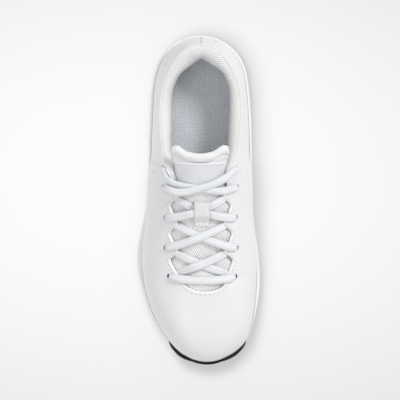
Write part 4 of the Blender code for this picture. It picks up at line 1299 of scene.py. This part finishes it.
def lace_route(shell, floor):
    """Points of the whole lace, their side vectors and whether each lies on the shoe."""
    eyelets = eyelet_frames()
    strands, bar = lace_strands(eyelets, shell, floor)
    first, second = (half_route(side, eyelets, strands) for side in ("lateral", "medial"))
    legs = [(line[::-1], None if tilt is None else tilt[::-1]) for line, tilt in first[::-1]]
    legs.append((bar[0][3:-3], bar[1][3:-3]))
    legs += second
    points = np.vstack([line for line, _ in legs])
    sides = np.vstack([np.zeros_like(line) if tilt is None else tilt for line, tilt in legs])
    known = np.concatenate([np.full(len(line), tilt is not None) for line, tilt in legs])
    marks = np.flatnonzero(known)
    for before, after in zip(marks[:-1], marks[1:]):
        if sides[before] @ sides[after] < 0:
            sides[after:] *= -1
    return points, sides, known


def make_lace(shell, floor):
    """One cord: a bar over the first row, then crossings up to the top eyelets, where its ends hide."""
    points, sides, known = lace_route(shell, floor)
    run = run_of(points)
    even = np.arange(0, run[-1], LACE_STEP)
    line = soften(points_at(even, run, points), 1.5)
    size = soften(np.interp(even, run, known.astype(float)), 2.0)
    heading = unit(np.gradient(line, axis=0))
    sides = points_at(even, run[known], sides[known])
    sides = unit(sides - (sides * heading).sum(axis=1)[:, None] * heading)
    ups = np.cross(heading, sides)
    width = LACE_WIDTH * (LACE_NARROW + (1 - LACE_NARROW) * size)
    thick = LACE_THICKNESS * (1.08 - 0.08 * size)
    turns = np.linspace(0, 2 * math.pi, LACE_SIDES, endpoint=False) - math.pi / 2
    wide = np.sign(np.cos(turns)) * np.abs(np.cos(turns)) ** 0.85 / 2
    high = np.sin(turns) / 2
    sections = [
        p + np.outer(wide * w, a) + np.outer(high * h, b)
        for p, w, h, a, b in zip(line, width, thick, sides, ups)
    ]
    around = np.abs(np.linspace(-1, 1, LACE_SIDES, endpoint=False)) * LACE_LAY
    along, around = np.broadcast_arrays(even[:, None] / MM, around)
    lay = np.stack([along, around, 0 * along], axis=-1).reshape(-1, 3)
    return add_piece("lace_cord", *tube(sections), LACE, lay, 75)


# Insole, midsole and outsole
def sole_positions(count=170):
    """Loop positions of the sole's columns, a little closer towards the toe."""
    return whole_ring(np.linspace(0, 1, count) ** 1.05)


def make_insole():
    """Sock liner, cupped round the heel."""
    s = sole_positions()
    cup = INSOLE_CUP * ease(side_share(s), 0.45, 0.75)
    loops = []
    for inset, rise, share in INSOLE_LOOPS:
        plan = feather_outline(s, -(WALL + INSOLE_CLEARANCE + inset))
        loops.append(with_z(plan, feather_z(plan[:, 1]) + GAP + rise + share * cup))
    return add_piece("insole_board", *stacked(loops[::-1]), INSOLE_KNIT)


def midsole_flare(s):
    """How far the midsole stands out past the feather line."""
    return FLARE_AT(s)[:, 0] * MM


def make_midsole():
    """Foam with a lip round the upper. Lip and side grooves fade out behind the toe bumper."""
    s = whole_ring(fine_positions()[::2])
    u = side_share(s)
    step = PANEL_STEP * (u > PANEL_U)
    toe_fade = ease(u, BUMPER_LOW, 1.4 * BUMPER_END)
    flare = midsole_flare(s)
    lip = MIDSOLE_LIP * toe_fade
    controls = ring(s)
    lean = on_profile(controls, np.full(len(s), 0.06))[:, :2] - controls[:, 0, :2]
    inner = np.minimum(np.linalg.norm(lean, axis=1) + GAP - step, flare - 0.35 * MM)
    lip_rows = (
        (GAP - step, 0),
        (inner, lip - 0.1 * MM),
        (inner * 0.3 + (flare - 0.3 * MM) * 0.7, lip),
        (flare - 0.12 * MM, lip * 0.94),
        (flare, lip * 0.7),
    )
    top = feather_z(feather_outline(s, GAP - step)[:, 1])
    loops = [with_z(feather_outline(s, offset), top + rise) for offset, rise in lip_rows]
    for share, setback in MIDSOLE_SIDE:
        outline = feather_outline(s, flare - setback * MM * toe_fade)
        top, bottom = feather_z(outline[:, 1]), plate_z(outline[:, 1]) + PLATE + GAP
        loops.append(with_z(outline, top + share * (bottom - top)))
    return add_piece("midsole_foam", *stacked(loops), FOAM, sharp=50)


def half_widths(y):
    """Lateral and medial reach of the feather line at a place along Y."""
    u = np.linspace(0, 1, 801)
    medial, lateral = ring(u)[:, 0], ring(2 - u)[:, 0]
    return np.interp(y, lateral[:, 1], lateral[:, 0]), np.interp(y, medial[:, 1], medial[:, 0])


def stud_parts():
    """Tapered studs with rounded corners, a stepped foot and a softened tip."""
    turns = np.arange(28) * 2 * math.pi / 28
    outline = np.column_stack([np.cos(turns), np.sin(turns)])
    outline = np.sign(outline) * np.abs(outline) ** 0.42
    parts = []
    for row in named_rows(STUD_COLUMNS, STUD_ROWS):
        y = float(station_y(row["station"]))
        lateral, medial = half_widths(y)
        reach = medial if row["across"] > 0 else -lateral
        centre = np.array([row["across"] * reach, y])
        turn = math.radians(row["turn"])
        spin = np.array([[math.cos(turn), -math.sin(turn)], [math.sin(turn), math.cos(turn)]])
        foot = outline * (row["length"] / 2 * MM, row["width"] / 2 * MM) @ spin.T
        root = float(plate_z([y])[0])
        tip = row["tip_lift"] * MM
        step = tip + STUD_STEP_HEIGHT * (root - tip)
        levels = (
            (1.04, root + STUD_SINK), (1.02, root - 0.1 * MM), (0.985, root - 0.6 * MM),
            (0.93, step + 0.25 * MM), (0.905, step), (0.86, step - 0.05 * MM), (0.84, step - 0.4 * MM),
            (STUD_TIP_SHARE + 0.04, tip + 0.9 * MM), (STUD_TIP_SHARE, tip + 0.25 * MM),
            (STUD_TIP_SHARE - 0.05, tip),
        )
        parts.append(tube([with_z(centre + foot * share, z) for share, z in levels]))
    return parts


def make_outsole():
    """Rubber plate with a bumper round the toe, and moulded studs."""
    s = sole_positions()
    u = side_share(s)
    rise = 1 - ease(u, BUMPER_FULL, BUMPER_LOW)
    spread = 1 - ease(u, BUMPER_LOW, BUMPER_END)
    flare = midsole_flare(s)
    wall = BUMPER_WALL + look_up(u, BUMPER_SWELL) * MM
    outer = (flare + GAP + wall) * spread + (flare - PLATE_SETBACK) * (1 - spread)
    loops = []
    for share, inset, lift, drop in BUMPER_PROFILE:
        plan = feather_outline(s, outer - share * wall - inset)
        plate_top = plate_z(plan[:, 1]) + PLATE
        wall_top = plate_top + rise * (feather_z(plan[:, 1]) + BUMPER_RISE - plate_top)
        loops.append(with_z(plan, plate_top + lift * (wall_top - plate_top) - drop))
    outsole = add_piece("outsole_rubber", *stacked(loops), RUBBER, sharp=50)
    boolean(outsole, add_piece("studs", *join_all(stud_parts()), RUBBER, sharp=50), "UNION")
    return outsole


# Stitches
def stitch_line(points, normals, pitch, length, radius, sink):
    """Short rounded stitches at even steps along a line."""
    run = run_of(points)
    count = int(run[-1] / pitch)
    along = np.linspace(-0.5, 0.5, len(STITCH_LIFT)) * length
    turns = np.arange(STITCH_SIDES) * 2 * math.pi / STITCH_SIDES
    parts = []
    for k in range(count):
        middle = (k + 0.5) * run[-1] / count
        up = unit(points_at(middle, run, normals)[0])
        line = points_at(middle + along, run, points)
        line += np.outer(np.array(STITCH_LIFT) * radius - sink, up)
        side = unit(np.cross(up, unit(line[-1] - line[0])))
        circle = np.outer(np.cos(turns), side) + np.outer(np.sin(turns), up)
        parts.append(tube([p + girth * radius * circle for p, girth in zip(line, STITCH_GIRTH)]))
    return parts


def sew(name, lines, stitch, material):
    """One piece of stitches along lines with their normals."""
    parts = [part for line in lines for part in stitch_line(*line, *stitch)]
    return add_piece(name, *join_all(parts), material, sharp=80)


def upper_line(s, distance):
    """A line on the upper's outer face at a distance from the throat edge, with normals."""
    t = edge_t(s, notch_depth(s) + distance)
    point, normal = skin_frame(s, t)
    return point - normal * relief(s, t)[:, None], normal


def make_throat_stitches():
    """A row of stitches along the throat's edge, round its toe end."""
    u = np.linspace(TAB_U[-1] - 0.004, 0, 260)
    s = np.concatenate([u, 2 - u[-2::-1]])
    s = np.where(s >= 2, s - 2, s)
    return sew("throat_stitches", [upper_line(s, THROAT_STITCH_INSET)], THROAT_STITCH, GREY_THREAD_PAINTED_SHADE)


def surface_line(tree, plan):
    """A plan line dropped on a surface, with normals."""
    hits = [tree.ray_cast(Vector((x, y, 1)), Vector((0, 0, -1)))[:2] for x, y in plan]
    return np.array([tuple(p) for p, _ in hits]), np.array([tuple(n) for _, n in hits])


def make_tongue_stitches(tongue, label):
    """A row of stitches along the label's top."""
    row = np.array([len(TONGUE_POINTS) + LABEL_ROWS[1] + 0.06])
    columns = np.linspace(LABEL_BARE - 0.3, TONGUE_COLUMNS - 0.7 - LABEL_BARE, 60)
    grid, normal, _ = tongue_patch(row, columns)
    line = surface_line(tree_of([tongue, label]), (grid - normal * TONGUE_DEPTH)[0, :, :2])
    return sew("tongue_stitches", [line], LABEL_STITCH, GREY_THREAD_PAINTED_SHADE)


def make_keeper_stitches(keeper):
    """Two rows of white stitches across the foot of the keeper."""
    tree = tree_of([keeper])
    x = np.linspace(KEEPER_X[0] + KEEPER_STITCH_MARGIN, KEEPER_X[1] - KEEPER_STITCH_MARGIN, 12)
    rows = [np.column_stack([x, 0 * x + KEEPER_Y[0] + row]) for row in KEEPER_STITCH_ROWS]
    return sew("keeper_stitches", [surface_line(tree, row) for row in rows], KEEPER_STITCH, WHITE_THREAD)


# Stage
def add_light(name, place, target, size, power, lit):
    """A soft light on one group of things."""
    data = bpy.data.lights.new(name, "AREA")
    data.shape = "RECTANGLE"
    data.size, data.size_y = size
    data.energy = power
    made = bpy.data.objects.new(name, data)
    made.light_linking.receiver_collection = lit
    made.location = place
    made.rotation_euler = (Vector(target) - Vector(place)).to_track_quat("-Z", "Y").to_euler()
    bpy.context.scene.collection.objects.link(made)


def make_floor():
    """A pale floor whose glow fades towards its far ends."""
    m = Surface("pale_floor", (0.22, 0.22, 0.2185), 0.9, specular_ior_level=0.0)
    m.shader.inputs["Emission Color"].default_value = (1, 1, 0.995, 1)
    m.tint(m.noise(0.6, 1), (0.217, 0.217, 0.2155), (0.223, 0.223, 0.2215))
    _, y, _ = m.split(m.place)
    far = m.calc("MINIMUM", m.calc("POWER", m.scaled(y, 1 / FADE_REACH), 2.0), 1.0)
    m.join(m.spread(far, FLOOR_GLOW, FLOOR_GLOW_FAR), m.shader.inputs["Emission Strength"])
    corners = np.array([(-1, -1, 0), (1, -1, 0), (1, 1, 0), (-1, 1, 0)]) * FLOOR_REACH
    return add_piece("floor", corners, [(0, 1, 2, 3)], m.material)


def make_stage():
    """The floor in a soft room, with one light on it and four on the shoe."""
    floor = make_floor()
    world = bpy.data.worlds.new("soft_room")
    world.use_nodes = True
    back = world.node_tree.nodes["Background"]
    back.inputs["Color"].default_value = (1.0, 1.0, 1.0, 1)
    back.inputs["Strength"].default_value = ROOM_LIGHT
    bpy.context.scene.world = world
    lit = {name: bpy.data.collections.new(name) for name in ("ground", "shoe")}
    lit["ground"].objects.link(floor)
    for *light, group in LIGHTS:
        add_light(*light, lit[group])
    return lit["shoe"]


def make_camera():
    """Looks straight down, as in the photo."""
    data = bpy.data.cameras.new("camera")
    data.sensor_width = SENSOR
    data.lens = SENSOR * (CAMERA_HEIGHT - VIEW_LEVEL) / VIEW_WIDTH
    data.clip_start, data.clip_end = 0.1, 20
    made = bpy.data.objects.new("camera", data)
    made.location = (CAMERA_X, 0, CAMERA_HEIGHT)
    bpy.context.scene.collection.objects.link(made)
    bpy.context.scene.camera = made
    bpy.context.scene.view_settings.view_transform = "Standard"


# The pieces in place
make_camera()
shoe = make_stage()
upper = make_upper()
lining = make_lining()
tongue = make_tongue()
label = make_label()
keeper = make_keeper(tongue)
lace = make_lace(tree_of([upper, tongue, label, lining]), tree_of([tongue, label]))
punch_upper(upper)
insole = make_insole()
midsole = make_midsole()
outsole = make_outsole()
throat_stitches = make_throat_stitches()
tongue_stitches = make_tongue_stitches(tongue, label)
keeper_stitches = make_keeper_stitches(keeper)

PLACES = (
    (upper, ("upper",), "synthetic_white"),
    (lining, ("collar_padding",), "mesh_white"),
    (tongue, ("tongue",), "mesh_white"),
    (label, ("tongue_label",), "label_white"),
    (keeper, ("lace_keeper",), "webbing_white"),
    (lace, ("lace_bar", "lace_cross_1", "lace_cross_2", "lace_cross_3", "lace_cross_4"), "lace_white"),
    (insole, ("insole",), "textile_grey"),
    (midsole, ("midsole",), "foam_white"),
    (outsole, ("outsole",), "rubber_black"),
    (throat_stitches, (), "lace_white"),
    (tongue_stitches, (), "lace_white"),
    (keeper_stitches, (), "lace_white"),
)
for piece, nodes, slot in PLACES:
    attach(piece, "root")
    if nodes:
        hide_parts(*nodes)
    shoe.objects.link(piece)
